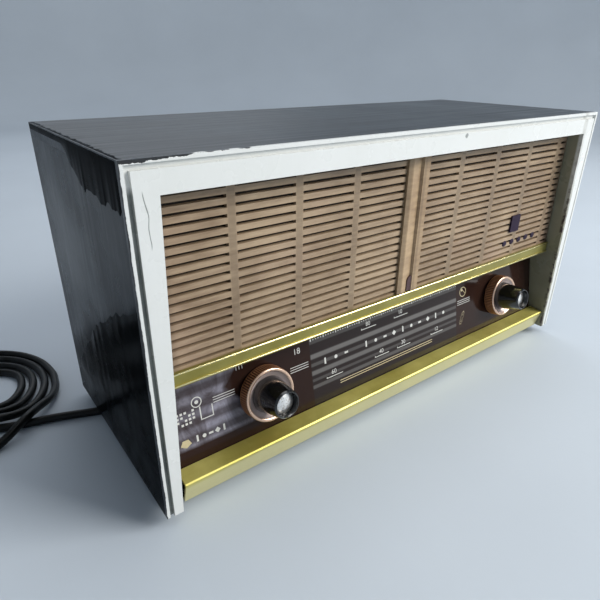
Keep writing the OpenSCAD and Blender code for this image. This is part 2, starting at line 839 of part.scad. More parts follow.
cabinet_top();
cabinet_bottom();
cabinet_left_side();
cabinet_right_side();
rear_battens();
front_surround();
speaker_baffle();
speaker_cloth();
grille_left();
grille_right();
grille_pillar();
grille_badge();
divider_strip();
shelf_trim();
dial_glass();
dial_backplate();
glass_cushions();
dial_lamps();
pointer();
tone_ring();
tone_shaft();
volume_knob();
volume_knob_insert();
volume_shaft();
dual_potentiometer();
control_nuts();
tuning_ring();
tuning_sleeve();
band_knob();
band_knob_insert();
band_shaft();
band_switch();
drive_drum();
tuner_rotor();
tuner_frame();
pulley_left();
pulley_right();
drive_cord();
chassis();
chassis_bolts();
circuit_board();
filter_cans();
electrolytic_capacitors();
ferrite_rod();
aerial_coils();
rod_holders();
speaker_basket();
speaker_cone();
speaker_magnet();
transformer_core();
transformer_winding();
rear_cover();
rear_cover_screws();
aerial_sockets();
feet();
cord_gland();
mains_cord_run();
mains_cord_coil();
mains_cord_tail();
mains_plug();
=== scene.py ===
"""Looks of the mains table radio. Metres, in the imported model's frame: +Z up, front towards -Y."""
import json
import math
import random

import bmesh
import bpy
from mathutils import Matrix, Vector


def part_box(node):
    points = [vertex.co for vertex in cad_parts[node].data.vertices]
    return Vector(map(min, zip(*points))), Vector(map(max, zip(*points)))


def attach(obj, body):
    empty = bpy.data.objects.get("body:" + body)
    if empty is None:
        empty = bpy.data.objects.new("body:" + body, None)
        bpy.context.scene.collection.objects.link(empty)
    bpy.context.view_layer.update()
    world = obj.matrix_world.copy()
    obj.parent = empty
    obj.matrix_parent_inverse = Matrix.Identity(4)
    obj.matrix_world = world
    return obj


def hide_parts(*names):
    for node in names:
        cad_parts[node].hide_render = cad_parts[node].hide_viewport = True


MM = 0.001

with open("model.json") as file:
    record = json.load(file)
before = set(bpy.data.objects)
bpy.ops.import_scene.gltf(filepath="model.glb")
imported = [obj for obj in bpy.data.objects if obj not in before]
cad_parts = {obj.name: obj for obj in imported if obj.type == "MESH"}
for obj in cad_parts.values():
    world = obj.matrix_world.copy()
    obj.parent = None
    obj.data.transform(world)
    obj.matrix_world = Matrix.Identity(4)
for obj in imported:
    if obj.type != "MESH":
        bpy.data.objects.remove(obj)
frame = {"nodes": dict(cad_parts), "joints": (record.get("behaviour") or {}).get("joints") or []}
nodes = frame["nodes"]
joints = {joint["name"]: joint for joint in frame["joints"]}
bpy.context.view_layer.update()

# ---- driving places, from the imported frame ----

cabinet_low, cabinet_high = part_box("cabinet_top")
HALF_WIDTH = cabinet_high.x
FRONT_EDGE = cabinet_low.y
BACK_EDGE = cabinet_high.y
TOP = cabinet_high.z
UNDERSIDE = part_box("cabinet_left_side")[0].z
FACE_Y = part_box("front_surround")[0].y
GRILLE_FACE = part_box("grille_left")[0].y

# Measures of the front that the frame doesn't give.
OPEN_LOW_HALF = 190.1 * MM
OPEN_TOP_HALF = 183.8 * MM
OPEN_TOP = 182 * MM
BEAD = 2 * MM
FACE_INSET = 4.4 * MM
RIB_PITCH = 43 * MM
FIRST_LEFT_RIB = -142.5 * MM
FIRST_RIGHT_RIB = 43 * MM
NICK = (25.8 * MM, FACE_Y, UNDERSIDE + 191.3 * MM)
SCALE_LEFT = -82.5 * MM
SCALE_RIGHT = 74.2 * MM

left_axis = Vector(joints["tone_turn"]["pos_m"])
right_axis = Vector(joints["tuning_turn"]["pos_m"])
OUT = -Vector(joints["tone_turn"]["axis"]).normalized()
UP_GLASS = Vector((0, OUT.z, -OUT.y))
DIAL = Matrix((
    (1, 0, 0, 0),
    (0, UP_GLASS.y, OUT.y, left_axis.y),
    (0, UP_GLASS.z, OUT.z, left_axis.z),
    (0, 0, 0, 1),
))


def on_dial(x, v, h):
    """A point given across the dial, up the glass and out of its face, in millimetres."""
    return DIAL @ Vector((x * MM, v * MM, h * MM))


def angles(steps):
    """Evenly spaced angles of one full turn."""
    return [2 * math.pi * k / steps for k in range(steps)]


def in_scene(name, data):
    """A new object in the scene, with this mesh, curve, light or camera."""
    made = bpy.data.objects.new(name, data)
    bpy.context.scene.collection.objects.link(made)
    return made


def meshed(name, bm, materials):
    """A new mesh made from a bmesh."""
    data = bpy.data.meshes.new(name)
    bm.to_mesh(data)
    bm.free()
    for material in materials:
        data.materials.append(material)
    return data


# ---- camera ----

SENSOR_WIDTH = 36
LENS = 30.49
# The camera's turn to the right, its tilt up and its roll, in degrees.
CAMERA_TURN = (-37.32, -25.41, 0.66)
CAMERA_PLACE = Vector((-266.2, -209.9, 235.4)) * MM + Vector((0, FRONT_EDGE, UNDERSIDE))


def make_camera():
    """Looks down on the set's left front corner, with a slight roll."""
    data = bpy.data.cameras.new("camera")
    data.sensor_width = SENSOR_WIDTH
    data.lens = LENS
    turn, tilt, roll = (math.radians(a) for a in CAMERA_TURN)
    camera = in_scene("camera", data)
    camera.matrix_world = (Matrix.Translation(CAMERA_PLACE) @ Matrix.Rotation(turn, 4, "Z")
                           @ Matrix.Rotation(math.pi / 2 + tilt, 4, "X") @ Matrix.Rotation(roll, 4, "Z"))
    bpy.context.scene.camera = camera


make_camera()


# ---- node materials ----

class Paint:
    """One Principled material, with short calls for the procedural nodes that feed it."""

    def __init__(self, name, colour, rough, metal=0.0, **sockets):
        self.material = bpy.data.materials.new(name)
        self.material.use_nodes = True
        self.tree = self.material.node_tree
        self.shader = self.tree.nodes["Principled BSDF"]
        self.colour(colour)
        self.rough(rough)
        self.set("Metallic", metal)
        for socket, value in sockets.items():
            self.set(socket.replace("_", " ").title().replace("Ior", "IOR"), value)
        self.position = self.tree.nodes.new("ShaderNodeTexCoord").outputs["Object"]

    def feed(self, target, value):
        """Links a socket to another, or sets it to a constant."""
        if isinstance(value, bpy.types.NodeSocket):
            self.tree.links.new(value, target)
        elif target.type == "RGBA":
            target.default_value = (*value[:3], 1)
        else:
            target.default_value = value

    def set(self, socket, value):
        self.feed(self.shader.inputs[socket], value)

    def colour(self, value):
        self.set("Base Color", value)

    def rough(self, value):
        self.set("Roughness", value)

    def node(self, kind, inputs, **settings):
        made = self.tree.nodes.new(kind)
        for key, value in settings.items():
            setattr(made, key, value)
        for socket, value in inputs.items():
            self.feed(made.inputs[socket], value)
        return made

    def stretched(self, x, y, z):
        """The position, scaled on each axis, so that a pattern is drawn out along the smaller ones."""
        return self.node("ShaderNodeMapping", {"Vector": self.position, "Scale": (x, y, z)}).outputs["Vector"]

    def noise(self, scale, detail=3.0, rough=0.55, at=None, bend=0.0):
        inputs = {"Vector": at or self.position, "Scale": scale, "Detail": detail,
                  "Roughness": rough, "Distortion": bend}
        return self.node("ShaderNodeTexNoise", inputs).outputs["Fac"]

    def cells(self, scale, feature="F1"):
        inputs = {"Vector": self.position, "Scale": scale}
        return self.node("ShaderNodeTexVoronoi", inputs, feature=feature).outputs["Distance"]

    def ripple(self, scale, bend=0.0, at=None, direction="X", detail=2.0):
        inputs = {"Vector": at or self.position, "Scale": scale, "Distortion": bend, "Detail": detail}
        return self.node("ShaderNodeTexWave", inputs, bands_direction=direction).outputs["Fac"]

    def axis(self, name):
        return self.node("ShaderNodeSeparateXYZ", {0: self.position}).outputs[name]

    def calc(self, kind, a, b=0.0):
        return self.node("ShaderNodeMath", {0: a, 1: b}, operation=kind).outputs[0]

    def plus(self, a, b):
        return self.calc("ADD", a, b)

    def minus(self, a, b):
        return self.calc("SUBTRACT", a, b)

    def times(self, a, b):
        return self.calc("MULTIPLY", a, b)

    def most(self, a, *others):
        for other in others:
            a = self.calc("MAXIMUM", a, other)
        return a

    def away(self, value, place):
        """Distance between a value and a place on the same axis."""
        return self.calc("ABSOLUTE", self.minus(value, place))

    def within(self, value, low, high, soft):
        """1 between two limits, with soft edges, and 0 outside them."""
        return self.times(self.span(value, low, low + soft), self.span(value, high - soft, high, 1, 0))

    def span(self, value, low, high, out_low=0.0, out_high=1.0):
        """Maps low..high to out_low..out_high and holds the ends."""
        inputs = {"Value": value, "From Min": low, "From Max": high, "To Min": out_low, "To Max": out_high}
        return self.node("ShaderNodeMapRange", inputs).outputs["Result"]

    def blend(self, share, a, b):
        """Colour a where the share is 0 and colour b where it is 1."""
        return self.node("ShaderNodeMix", {0: share, 6: a, 7: b}, data_type="RGBA").outputs[2]

    def bump(self, height, depth_mm, strength=1.0):
        inputs = {"Height": height, "Distance": depth_mm * MM, "Strength": strength}
        if self.shader.inputs["Normal"].is_linked:
            inputs["Normal"] = self.shader.inputs["Normal"].links[0].from_socket
        self.set("Normal", self.node("ShaderNodeBump", inputs).outputs["Normal"])


def scaled(colour, *factors):
    """A colour made darker, lighter or tinted."""
    factors = factors * 3 if len(factors) == 1 else factors
    return tuple(min(1, c * f) for c, f in zip(colour, factors))


def black_gloss():
    """Hand-brushed gloss black on the sides, with runs that sagged before they dried."""
    p = Paint("black_gloss", (0.004, 0.005, 0.006), 0.25, specular_ior_level=0.1)
    runs = p.noise(24, 4, at=p.stretched(1, 1, 0.16), bend=0.6)
    strokes = p.noise(320, 3, at=p.stretched(1, 1, 0.03))
    # Pale dust specks.
    paler_share = p.span(p.noise(900, 2), 0.68, 0.8)
    paint = p.blend(p.noise(9), (0.0018, 0.0024, 0.003), (0.005, 0.0065, 0.0085))
    p.colour(p.blend(paler_share, paint, (0.03, 0.035, 0.04)))
    p.rough(p.span(p.noise(14, 5), 0.3, 0.75, 0.16, 0.4))
    p.bump(runs, 1.1, 0.55)
    p.bump(strokes, 0.1, 0.55)
    p.bump(p.cells(130, feature="SMOOTH_F1"), 0.15, 0.2)
    return p.material


def black_satin():
    """The same paint on the top, rubbed dull, with dusty specks, strokes along the set and a painted sheen
    that grows lighter towards the right-hand end.
    """
    p = Paint("black_satin", (0.03, 0.032, 0.035), 0.42, specular_ior_level=0.38)
    streaks = p.noise(260, 4, at=p.stretched(0.035, 1, 1))
    haze = p.noise(11, 3, 0.5)
    # Painted sheen: the top grows lighter towards the right-hand end.
    paler_share = p.span(p.axis("X"), -HALF_WIDTH, HALF_WIDTH, 0.0, 0.5)
    colour = p.blend(p.plus(p.times(haze, 0.6), paler_share), (0.007, 0.009, 0.012), (0.055, 0.064, 0.075))
    specks = p.span(p.noise(1300, 1), 0.7, 0.8)
    p.colour(p.blend(specks, colour, (0.2, 0.21, 0.22)))
    p.rough(p.span(p.plus(haze, streaks), 0.7, 1.3, 0.28, 0.5))
    p.bump(streaks, 0.08, 0.45)
    p.bump(p.noise(40, 4), 0.4, 0.35)
    return p.material


def dark_reflection_black(name, sheen):
    """Deeper black with almost no reflection and faint brush strokes, for the thin sheets of painted dark
    reflection on the side.
    """
    p = Paint(name, (0.0015, 0.0018, 0.002), 0.2, specular_ior_level=sheen)
    strokes = p.noise(260, 4, at=p.stretched(1, 0.06, 1))
    p.colour(p.blend(strokes, (0.0008, 0.001, 0.0012), (0.004, 0.005, 0.006)))
    p.rough(p.span(p.noise(40, 4), 0.3, 0.7, 0.12, 0.35))
    p.bump(strokes, 0.08, 0.3)
    return p.material


def chipped_edge(p, from_edge, low_right):
    """Paint knocked off the rim of the opening, mostly low on the right upright."""
    rim = p.span(p.axis("Y"), FACE_Y + 1.6 * MM, FACE_Y + 3 * MM, 1, 0)
    near_edge = p.times(p.span(from_edge, 0.8 * MM, 2.2 * MM, 1, 0), rim)
    chips = p.times(near_edge, p.span(p.noise(120, 5, 0.7), 0.5, 0.56))
    return p.times(chips, low_right)


def black_overlap(p, x, z):
    """Black paint that ran over the outer corner, mostly along the left part of the top."""
    sharp = 0.1 * MM
    wander = p.times(p.minus(p.noise(55, 5, 0.7), 0.5), 6 * MM)
    from_top = p.minus(TOP - 0.6 * MM, z)
    left_part = p.span(x, -190 * MM, -120 * MM, -0.8 * MM, 1.6 * MM)
    over_top = p.span(p.minus(p.plus(from_top, left_part), wander), -sharp, sharp, 1, 0)
    from_left = p.plus(x, HALF_WIDTH - 0.4 * MM)
    over_left = p.span(p.minus(from_left, p.times(wander, 0.4)), -sharp, sharp, 1, 0)
    return p.most(over_top, over_left)


def painted_groove_shade(p, x, z):
    """Painted shade in the groove between the outer bead and the face, on the left upright."""
    groove = FACE_INSET - BEAD
    across = p.minus(x, BEAD - HALF_WIDTH)
    past_bead = p.span(across, 0.2 * MM, 0.8 * MM)
    in_groove = p.times(past_bead, p.span(across, groove - 0.1 * MM, groove + 0.3 * MM, 1, 0))
    below_corner = p.span(p.minus(TOP, z), 11 * MM, 15 * MM)
    return p.times(p.times(in_groove, below_corner), p.span(p.noise(60, 4), 0.2, 0.6, 0.75, 1))


def hairline_crack(p, x, height):
    """A crack that wanders down the left upright."""
    bend = p.times(p.minus(p.noise(26, 3), 0.5), 12 * MM)
    off_line = p.away(p.plus(x, HALF_WIDTH - 8.5 * MM), bend)
    line = p.span(off_line, 0.12 * MM, 0.3 * MM, 0.8, 0)
    return p.times(line, p.within(height, 158 * MM, 185 * MM, 2 * MM))


def nick_on_rail(p):
    """A worn spot on the top rail."""
    off_nick = p.node("ShaderNodeVectorMath", {0: p.position, 1: NICK}, operation="DISTANCE").outputs["Value"]
    return p.span(p.plus(off_nick, p.times(p.noise(300, 3), 3 * MM)), 2.8 * MM, 3.4 * MM, 0.7, 0)


def white_paint():
    """Thick white gloss over wood, with painted shade in the groove of the left upright, grime and painted
    shade on the faces inside the opening and along its low right-hand edge, and chipped to dark wood on the
    right-hand edge.
    """
    p = Paint("white_paint", (0.74, 0.74, 0.7), 0.28, specular_ior_level=0.5)
    x, y, z = p.axis("X"), p.axis("Y"), p.axis("Z")
    height = p.minus(z, UNDERSIDE)
    slope = (OPEN_TOP_HALF - OPEN_LOW_HALF) / OPEN_TOP
    from_edge = p.away(p.calc("ABSOLUTE", x), p.plus(p.times(height, slope), OPEN_LOW_HALF))
    low_right = p.times(p.span(x, 100 * MM, 120 * MM), p.span(height, 110 * MM, 150 * MM, 1, 0.25))
    chipped_off = chipped_edge(p, from_edge, low_right)
    black = black_overlap(p, x, z)
    # Grime and painted shade: the faces inside the opening, and a ragged band along the low right-hand edge,
    # go olive.
    ragged_edge_distance = p.minus(from_edge, p.times(p.noise(90, 4), 3.5 * MM))
    edge_grime_and_shade = p.times(p.span(ragged_edge_distance, 0.6 * MM, 1.6 * MM, 1, 0), low_right)
    inside_grime_and_shade = p.most(p.span(y, FACE_Y + 2 * MM, FACE_Y + 4 * MM), edge_grime_and_shade)
    clean = p.blend(p.span(p.noise(11, 6, 0.65), 0.45, 0.8, 0, 0.4), (0.71, 0.72, 0.7), (0.6, 0.62, 0.57))
    inside_darkened = p.blend(inside_grime_and_shade, clean, p.blend(p.noise(40, 4), (0.17, 0.165, 0.11), (0.28, 0.27, 0.2)))
    # Painted shade in the left groove, with the crack and the worn spot.
    marks = p.most(painted_groove_shade(p, x, z), hairline_crack(p, x, height), nick_on_rail(p))
    shaded_and_marked = p.blend(marks, inside_darkened, (0.1, 0.115, 0.105))
    chipped = p.blend(chipped_off, shaded_and_marked, (0.05, 0.035, 0.03))
    p.colour(p.blend(black, chipped, (0.012, 0.013, 0.015)))
    p.rough(p.span(p.noise(35, 4), 0.35, 0.7, 0.2, 0.42))
    p.bump(p.noise(170, 4, at=p.stretched(1, 1, 0.08)), 0.14, 0.6)
    p.bump(p.noise(30, 3), 0.5, 0.35)
    p.bump(p.most(chipped_off, black), -0.2, 0.6)
    return p.material


def shade_by_ribs(p, x):
    """How near a place is to an upright rib, as the share of painted shade beside it: the left and right
    grilles have their own first rib.
    """
    left, right = (p.calc("PINGPONG", p.plus(x, 10 * RIB_PITCH - first), RIB_PITCH / 2)
                   for first in (FIRST_LEFT_RIB, FIRST_RIGHT_RIB))
    on_right = p.span(x, 0, 0.1 * MM)
    nearest = p.plus(p.times(left, p.minus(1.0, on_right)), p.times(right, on_right))
    return p.span(nearest, 1.8 * MM, 2.8 * MM, 0.3, 0)


def grille_plastic(name="grille_plastic", tint=(1, 1, 1)):
    """Beige moulding, browned unevenly, with painted shade beside the ribs, along the ends and along the top.
    """
    p = Paint(name, (0.36, 0.27, 0.18), 0.45, specular_ior_level=0.4)
    light = scaled((0.42, 0.31, 0.2), *tint)
    dark = scaled((0.21, 0.14, 0.085), *tint)
    pink = scaled((0.4, 0.265, 0.2), *tint)
    grain = p.noise(420, 3, at=p.stretched(0.12, 1, 1))
    tone = p.span(p.plus(p.noise(16, 5, 0.6), p.times(grain, 0.6)), 0.55, 1.0)
    stain = p.span(p.noise(9, 3), 0.5, 0.75, 0, 0.7)
    wood = p.blend(stain, p.blend(tone, dark, light), pink)
    x = p.axis("X")
    # Painted shade: darker at the ends beside the uprights, along the top under the rail and beside the ribs.
    at_end = p.span(p.calc("ABSOLUTE", x), 177.5 * MM, 187 * MM, 0, 0.8)
    at_top = p.span(p.axis("Z"), UNDERSIDE + 175 * MM, UNDERSIDE + 186 * MM, 0, 0.55)
    p.colour(p.blend(p.most(at_end, at_top, shade_by_ribs(p, x)), wood, (0.05, 0.035, 0.02)))
    p.rough(p.span(grain, 0.3, 0.7, 0.36, 0.6))
    p.bump(grain, 0.15, 0.7)
    p.bump(p.noise(60, 3), 0.3, 0.4)
    return p.material


def gold_trim(name="gold_trim", tint=1.0, pale_below=0.0):
    """Gold anodised aluminium, brushed along its length, dulled in patches, with a painted pale reflection of
    the floor below a height.
    """
    p = Paint(name, (0.5, 0.42, 0.1), 0.4, 0.65)
    brush = p.noise(900, 2, at=p.stretched(0.012, 1, 1))
    patches = p.noise(22, 5, 0.6)
    dull, bright = scaled((0.46, 0.4, 0.09), tint), scaled((0.68, 0.61, 0.19), tint)
    gold = p.blend(p.span(patches, 0.35, 0.7), dull, bright)
    height = p.minus(p.axis("Z"), UNDERSIDE)
    # Painted pale reflection of the floor on the lip below pale_below.
    worn = p.span(p.plus(height, p.times(patches, 4 * MM)), pale_below, pale_below + 3 * MM, 0.8, 0)
    p.colour(p.blend(worn, gold, (0.74, 0.68, 0.4)))
    p.rough(p.span(p.plus(brush, patches), 0.7, 1.3, 0.32, 0.52))
    p.bump(brush, 0.03, 0.6)
    return p.material


def scale_stripes(p, up):
    """Grey stripes behind the dial's scale, each given as its middle, half width and strength."""
    stripes = []
    for middle, half, power in ((19.6, 1.5, 0.5), (8.9, 1.7, 1.0), (2.8, 1.2, 0.5), (-3.2, 1.6, 0.9),
                                (-8.6, 1.0, 0.4), (-13.6, 1.3, 0.6)):
        stripes.append(p.span(p.away(up, middle * MM), half * MM * 0.7, half * MM * 1.3, power, 0))
    return p.most(*stripes)


def painted_reflection_patch(p, x, up):
    """Painted reflection at the left end of the glass: a pale streaky patch with a bent edge that stops short
    of the foot.
    """
    bend = p.calc("ABSOLUTE", p.times(p.minus(up, 12 * MM), -0.9))
    at_end = p.span(p.minus(x, p.plus(-149 * MM, bend)), -2 * MM, 2 * MM, 1, 0)
    streaks = p.span(p.noise(34, 6, 0.75, at=p.stretched(1.6, 1, 0.7), bend=1.2), 0.35, 0.75, 0.15, 1.0)
    bands = p.span(p.calc("SINE", p.times(up, 620)), -0.6, 0.8, 0.35, 1.0)
    above_foot = p.span(p.minus(up, p.times(p.noise(20), 6 * MM)), -21.5 * MM, -19 * MM)
    return p.times(p.times(at_end, above_foot), p.times(streaks, bands))


def dial_glass():
    """Glass painted brown-black behind, striped behind the scale, with a painted pale reflection at its left
    end.
    """
    p = Paint("dial_glass", (0.012, 0.005, 0.004), 0.09, specular_ior_level=0.14)
    x = p.axis("X")
    up = p.times(p.minus(p.axis("Z"), left_axis.z), 1 / UP_GLASS.z)
    in_scale = p.within(x, SCALE_LEFT, SCALE_RIGHT, 0.7 * MM)
    ground = p.blend(p.noise(12, 4), (0.01, 0.0045, 0.0035), (0.036, 0.017, 0.012))
    scale_back = p.blend(p.times(in_scale, 0.6), ground, (0.02, 0.018, 0.019))
    grey = p.blend(p.times(scale_stripes(p, up), in_scale), scale_back, (0.14, 0.133, 0.128))
    # Painted reflection at the left end of the glass.
    p.colour(p.blend(painted_reflection_patch(p, x, up), grey, (0.34, 0.33, 0.4)))
    p.rough(p.span(p.noise(50, 5), 0.4, 0.8, 0.06, 0.2))
    return p.material


def dial_ink(name, colour, metal=0.0):
    """Printing ink on glass, slightly uneven."""
    p = Paint(name, colour, 0.35, metal)
    p.colour(p.blend(p.noise(400, 3), scaled(colour, 0.7), colour))
    return p.material


def moulded(name, colour, rough, metal=0.0, grain=300, depth=0.05, spread=0.25, **sockets):
    """Plain moulding or sheet with some variation of tone, gloss and surface."""
    p = Paint(name, colour, rough, metal, **sockets)
    p.colour(p.blend(p.noise(25, 5), scaled(colour, 1 - spread), scaled(colour, 1 + spread)))
    p.rough(p.span(p.noise(60, 4), 0.3, 0.7, rough * 0.75, min(1, rough * 1.3)))
    p.bump(p.noise(grain, 3), depth, 0.6)
    return p.material


def knob_black():
    """Polished black moulding, with greasy specks."""
    p = Paint("knob_black", (0.006, 0.006, 0.007), 0.14, coat_weight=0.6, coat_roughness=0.06)
    p.rough(p.span(p.noise(220, 4), 0.35, 0.75, 0.1, 0.32))
    grease = p.span(p.noise(500, 2), 0.62, 0.75)
    p.colour(p.blend(grease, (0.005, 0.005, 0.006), (0.03, 0.028, 0.026)))
    p.bump(p.noise(90, 3), 0.08, 0.4)
    return p.material


def spotted_silver():
    """Spun aluminium with corrosion spots."""
    p = Paint("spotted_silver", (0.72, 0.71, 0.7), 0.33, 1.0)
    spots = p.span(p.noise(620, 5, 0.7), 0.5, 0.66)
    p.colour(p.blend(spots, (0.83, 0.82, 0.8), (0.3, 0.26, 0.22)))
    p.set("Metallic", p.span(spots, 0, 1, 1.0, 0.6))
    p.rough(p.span(spots, 0, 1, 0.28, 0.6))
    p.bump(spots, -0.06, 0.7)
    return p.material


def hardboard():
    """Pressed brown fibreboard."""
    p = Paint("hardboard", (0.12, 0.07, 0.04), 0.7)
    fibre = p.noise(500, 5, 0.7, bend=1.5)
    p.colour(p.blend(fibre, (0.1, 0.055, 0.03), (0.22, 0.14, 0.085)))
    p.rough(p.span(fibre, 0.3, 0.7, 0.55, 0.85))
    p.bump(fibre, 0.15, 0.7)
    p.bump(p.cells(260), 0.15, 0.4)
    return p.material


def bare_wood():
    """Raw softwood with upright grain."""
    p = Paint("bare_wood", (0.5, 0.33, 0.18), 0.6)
    rings = p.ripple(90, 4.0, at=p.stretched(1, 1, 0.05), detail=4.0)
    p.colour(p.blend(rings, (0.36, 0.22, 0.11), (0.6, 0.42, 0.24)))
    p.bump(rings, 0.1, 0.5)
    return p.material


def cloth():
    """Plain woven loudspeaker cloth, dark brown with lighter threads."""
    p = Paint("speaker_weave", (0.03, 0.02, 0.015), 0.9, sheen_weight=0.3)
    across = p.ripple(420, 0.3, direction="X")
    upward = p.ripple(420, 0.3, direction="Z")
    weave = p.times(across, upward)
    p.colour(p.blend(weave, (0.012, 0.008, 0.006), (0.06, 0.042, 0.03)))
    p.bump(weave, 0.2, 0.8)
    return p.material


def cord_rubber():
    """Black rubber, scuffed here and there."""
    p = Paint("cord_rubber", (0.012, 0.012, 0.013), 0.38, specular_ior_level=0.22)
    scuffs = p.span(p.noise(160, 5, 0.7), 0.5, 0.75)
    p.colour(p.blend(scuffs, (0.0025, 0.003, 0.003), (0.012, 0.014, 0.014)))
    p.rough(p.span(scuffs, 0, 1, 0.32, 0.6))
    p.bump(p.noise(700, 2), 0.05, 0.4)
    return p.material


def winding_wire(name="winding_wire", colour=(0.45, 0.17, 0.05)):
    """Turns of enamelled wire or tape, side by side."""
    p = Paint(name, colour, 0.3, 0.8)
    turns = p.ripple(650, 0.0, direction="X", detail=0.0)
    p.colour(p.blend(turns, scaled(colour, 0.5), colour))
    p.bump(turns, 0.2, 0.8)
    return p.material


def laminations():
    """Stacked transformer sheets."""
    p = Paint("laminations", (0.08, 0.07, 0.065), 0.5, 0.6)
    sheets = p.ripple(300, 0.2, direction="Y")
    p.colour(p.blend(sheets, (0.04, 0.035, 0.03), (0.14, 0.12, 0.11)))
    p.bump(sheets, 0.15, 0.7)
    return p.material


def card_cone():
    """Pressed paper of the loudspeaker cone."""
    p = Paint("card_cone", (0.06, 0.045, 0.035), 0.85)
    fibre = p.noise(600, 5, 0.75, bend=1.0)
    p.colour(p.blend(fibre, (0.035, 0.025, 0.02), (0.1, 0.08, 0.06)))
    p.bump(fibre, 0.12, 0.7)
    return p.material


def paint(material, *names):
    """Gives CAD nodes their material."""
    for name in names:
        nodes[name].data.materials.clear()
        nodes[name].data.materials.append(material)


STEEL = moulded("steel", (0.55, 0.55, 0.56), 0.3, 1.0, grain=800, depth=0.02, spread=0.12)
SHEET = moulded("sheet_metal", (0.56, 0.57, 0.58), 0.42, 1.0, grain=500, depth=0.03, spread=0.15)
BADGE = moulded("badge", (0.022, 0.012, 0.03), 0.5, grain=900, depth=0.03, specular_ior_level=0.15)
RUBBER = moulded("rubber", (0.02, 0.02, 0.02), 0.6, grain=900, depth=0.08)
# The knurled rings' side, rim, dish and grooves.
RING_LOOKS = [
    moulded("ring_side", (0.46, 0.21, 0.1), 0.34, 0.45, grain=900, depth=0.04),
    moulded("ring_rim", (0.72, 0.5, 0.37), 0.26, 0.75, grain=900, depth=0.03, spread=0.15),
    moulded("ring_dish", (0.66, 0.53, 0.49), 0.34, 0.35, grain=700, depth=0.03, spread=0.15),
    moulded("ring_groove", (0.09, 0.035, 0.018), 0.5, 0.3, grain=900, depth=0.04),
]

# The cabinet and its front.
paint(black_satin(), "cabinet_top")
paint(black_gloss(), "cabinet_bottom", "cabinet_left_side", "cabinet_right_side")
paint(white_paint(), "front_surround")
paint(grille_plastic(), "grille_left", "grille_right")
paint(grille_plastic("pillar_plastic", (1.12, 1.08, 1.0)), "grille_pillar")
paint(BADGE, "grille_badge")
paint(gold_trim("strip_gold", 0.5), "divider_strip")
paint(gold_trim(pale_below=13.5 * MM), "shelf_trim")
paint(dial_glass(), "dial_glass")
paint(knob_black(), "volume_knob", "band_knob")
paint(spotted_silver(), "volume_knob_insert", "band_knob_insert")
# The back, the feet and the plug.
paint(hardboard(), "rear_cover")
paint(bare_wood(), "rear_battens")
paint(RUBBER, "feet")
paint(moulded("plug", (0.012, 0.012, 0.012), 0.3, grain=500, depth=0.04), "mains_plug")
# The works.
paint(STEEL, "tone_shaft", "volume_shaft", "band_shaft", "tuning_sleeve", "control_nuts", "chassis_bolts",
      "rear_cover_screws")
paint(SHEET, "tuner_rotor", "tuner_frame", "chassis", "filter_cans")
paint(moulded("grey_steel", (0.16, 0.17, 0.18), 0.45, 0.3, grain=500),
      "dial_backplate", "dual_potentiometer", "speaker_basket")
paint(moulded("laminate", (0.2, 0.11, 0.05), 0.5, grain=600),
      "band_switch", "circuit_board", "aerial_sockets")
paint(moulded("brass", (0.7, 0.5, 0.18), 0.28, 1.0, grain=900, depth=0.02),
      "pointer", "pulley_left", "pulley_right")
paint(moulded("cream", (0.68, 0.62, 0.48), 0.5), "drive_drum")
paint(moulded("twine", (0.05, 0.045, 0.035), 0.8, grain=2500, depth=0.2), "drive_cord")
paint(moulded("felt", (0.16, 0.16, 0.16), 0.95, grain=1500, depth=0.3), "glass_cushions")
paint(moulded("bulb", (0.85, 0.82, 0.7), 0.1, grain=200, depth=0.02, transmission_weight=0.6), "dial_lamps")
paint(moulded("blue_sleeve", (0.05, 0.14, 0.3), 0.3), "electrolytic_capacitors")
paint(moulded("ferrite", (0.03, 0.03, 0.032), 0.45, grain=1200), "ferrite_rod")
paint(moulded("nylon", (0.75, 0.72, 0.62), 0.45), "rod_holders")
paint(winding_wire(), "aerial_coils")
paint(winding_wire("winding_tape", (0.5, 0.38, 0.2)), "transformer_winding")
paint(laminations(), "transformer_core")
paint(moulded("stained_board", (0.05, 0.038, 0.028), 0.7, grain=400, depth=0.15), "speaker_baffle")
paint(card_cone(), "speaker_cone")
paint(moulded("magnet", (0.3, 0.3, 0.31), 0.4, 0.9), "speaker_magnet")


def soften(name, width_mm):
    """Rounds a CAD node's edges a little, without changing its size."""
    bevel = nodes[name].modifiers.new("soft_edges", "BEVEL")
    bevel.width = width_mm * MM
    bevel.segments = 2
    bevel.limit_method = "ANGLE"
    bevel.angle_limit = math.radians(35)


for name, width in (("cabinet_top", 0.9), ("cabinet_left_side", 0.7), ("cabinet_right_side", 0.7),
                    ("front_surround", 0.6), ("grille_left", 0.35), ("grille_right", 0.35),
                    ("grille_pillar", 0.3), ("divider_strip", 0.45), ("shelf_trim", 0.3),
                    ("grille_badge", 0.3), ("rear_cover", 0.3), ("mains_plug", 0.8)):
    soften(name, width)


# ---- building pieces ----

def add_piece(name, bm, materials, smooth_angle=None, body="case", turn_out=False):
    """Turns a bmesh into an object that rides on a CAD body, after turning its faces outwards if asked."""
    if turn_out:
        bmesh.ops.recalc_face_normals(bm, faces=bm.faces)
    data = meshed(name, bm, materials)
    piece = in_scene(name, data)
    if smooth_angle is not None:
        data.shade_smooth()
        data.set_sharp_from_angle(angle=math.radians(smooth_angle))
    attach(piece, body)
    return piece


def skin(bm, rows, ring=True, wrap=False):
    """Quads between neighbouring rows. ring closes each row, and wrap joins the last row to the first."""
    made = []
    following = rows[1:] + (rows[:1] if wrap else [])
    for a, b in zip(rows, following):
        for i in range(len(a) if ring else len(a) - 1):
            j = (i + 1) % len(a)
            made.append(bm.faces.new((a[i], a[j], b[j], b[i])))
    return made


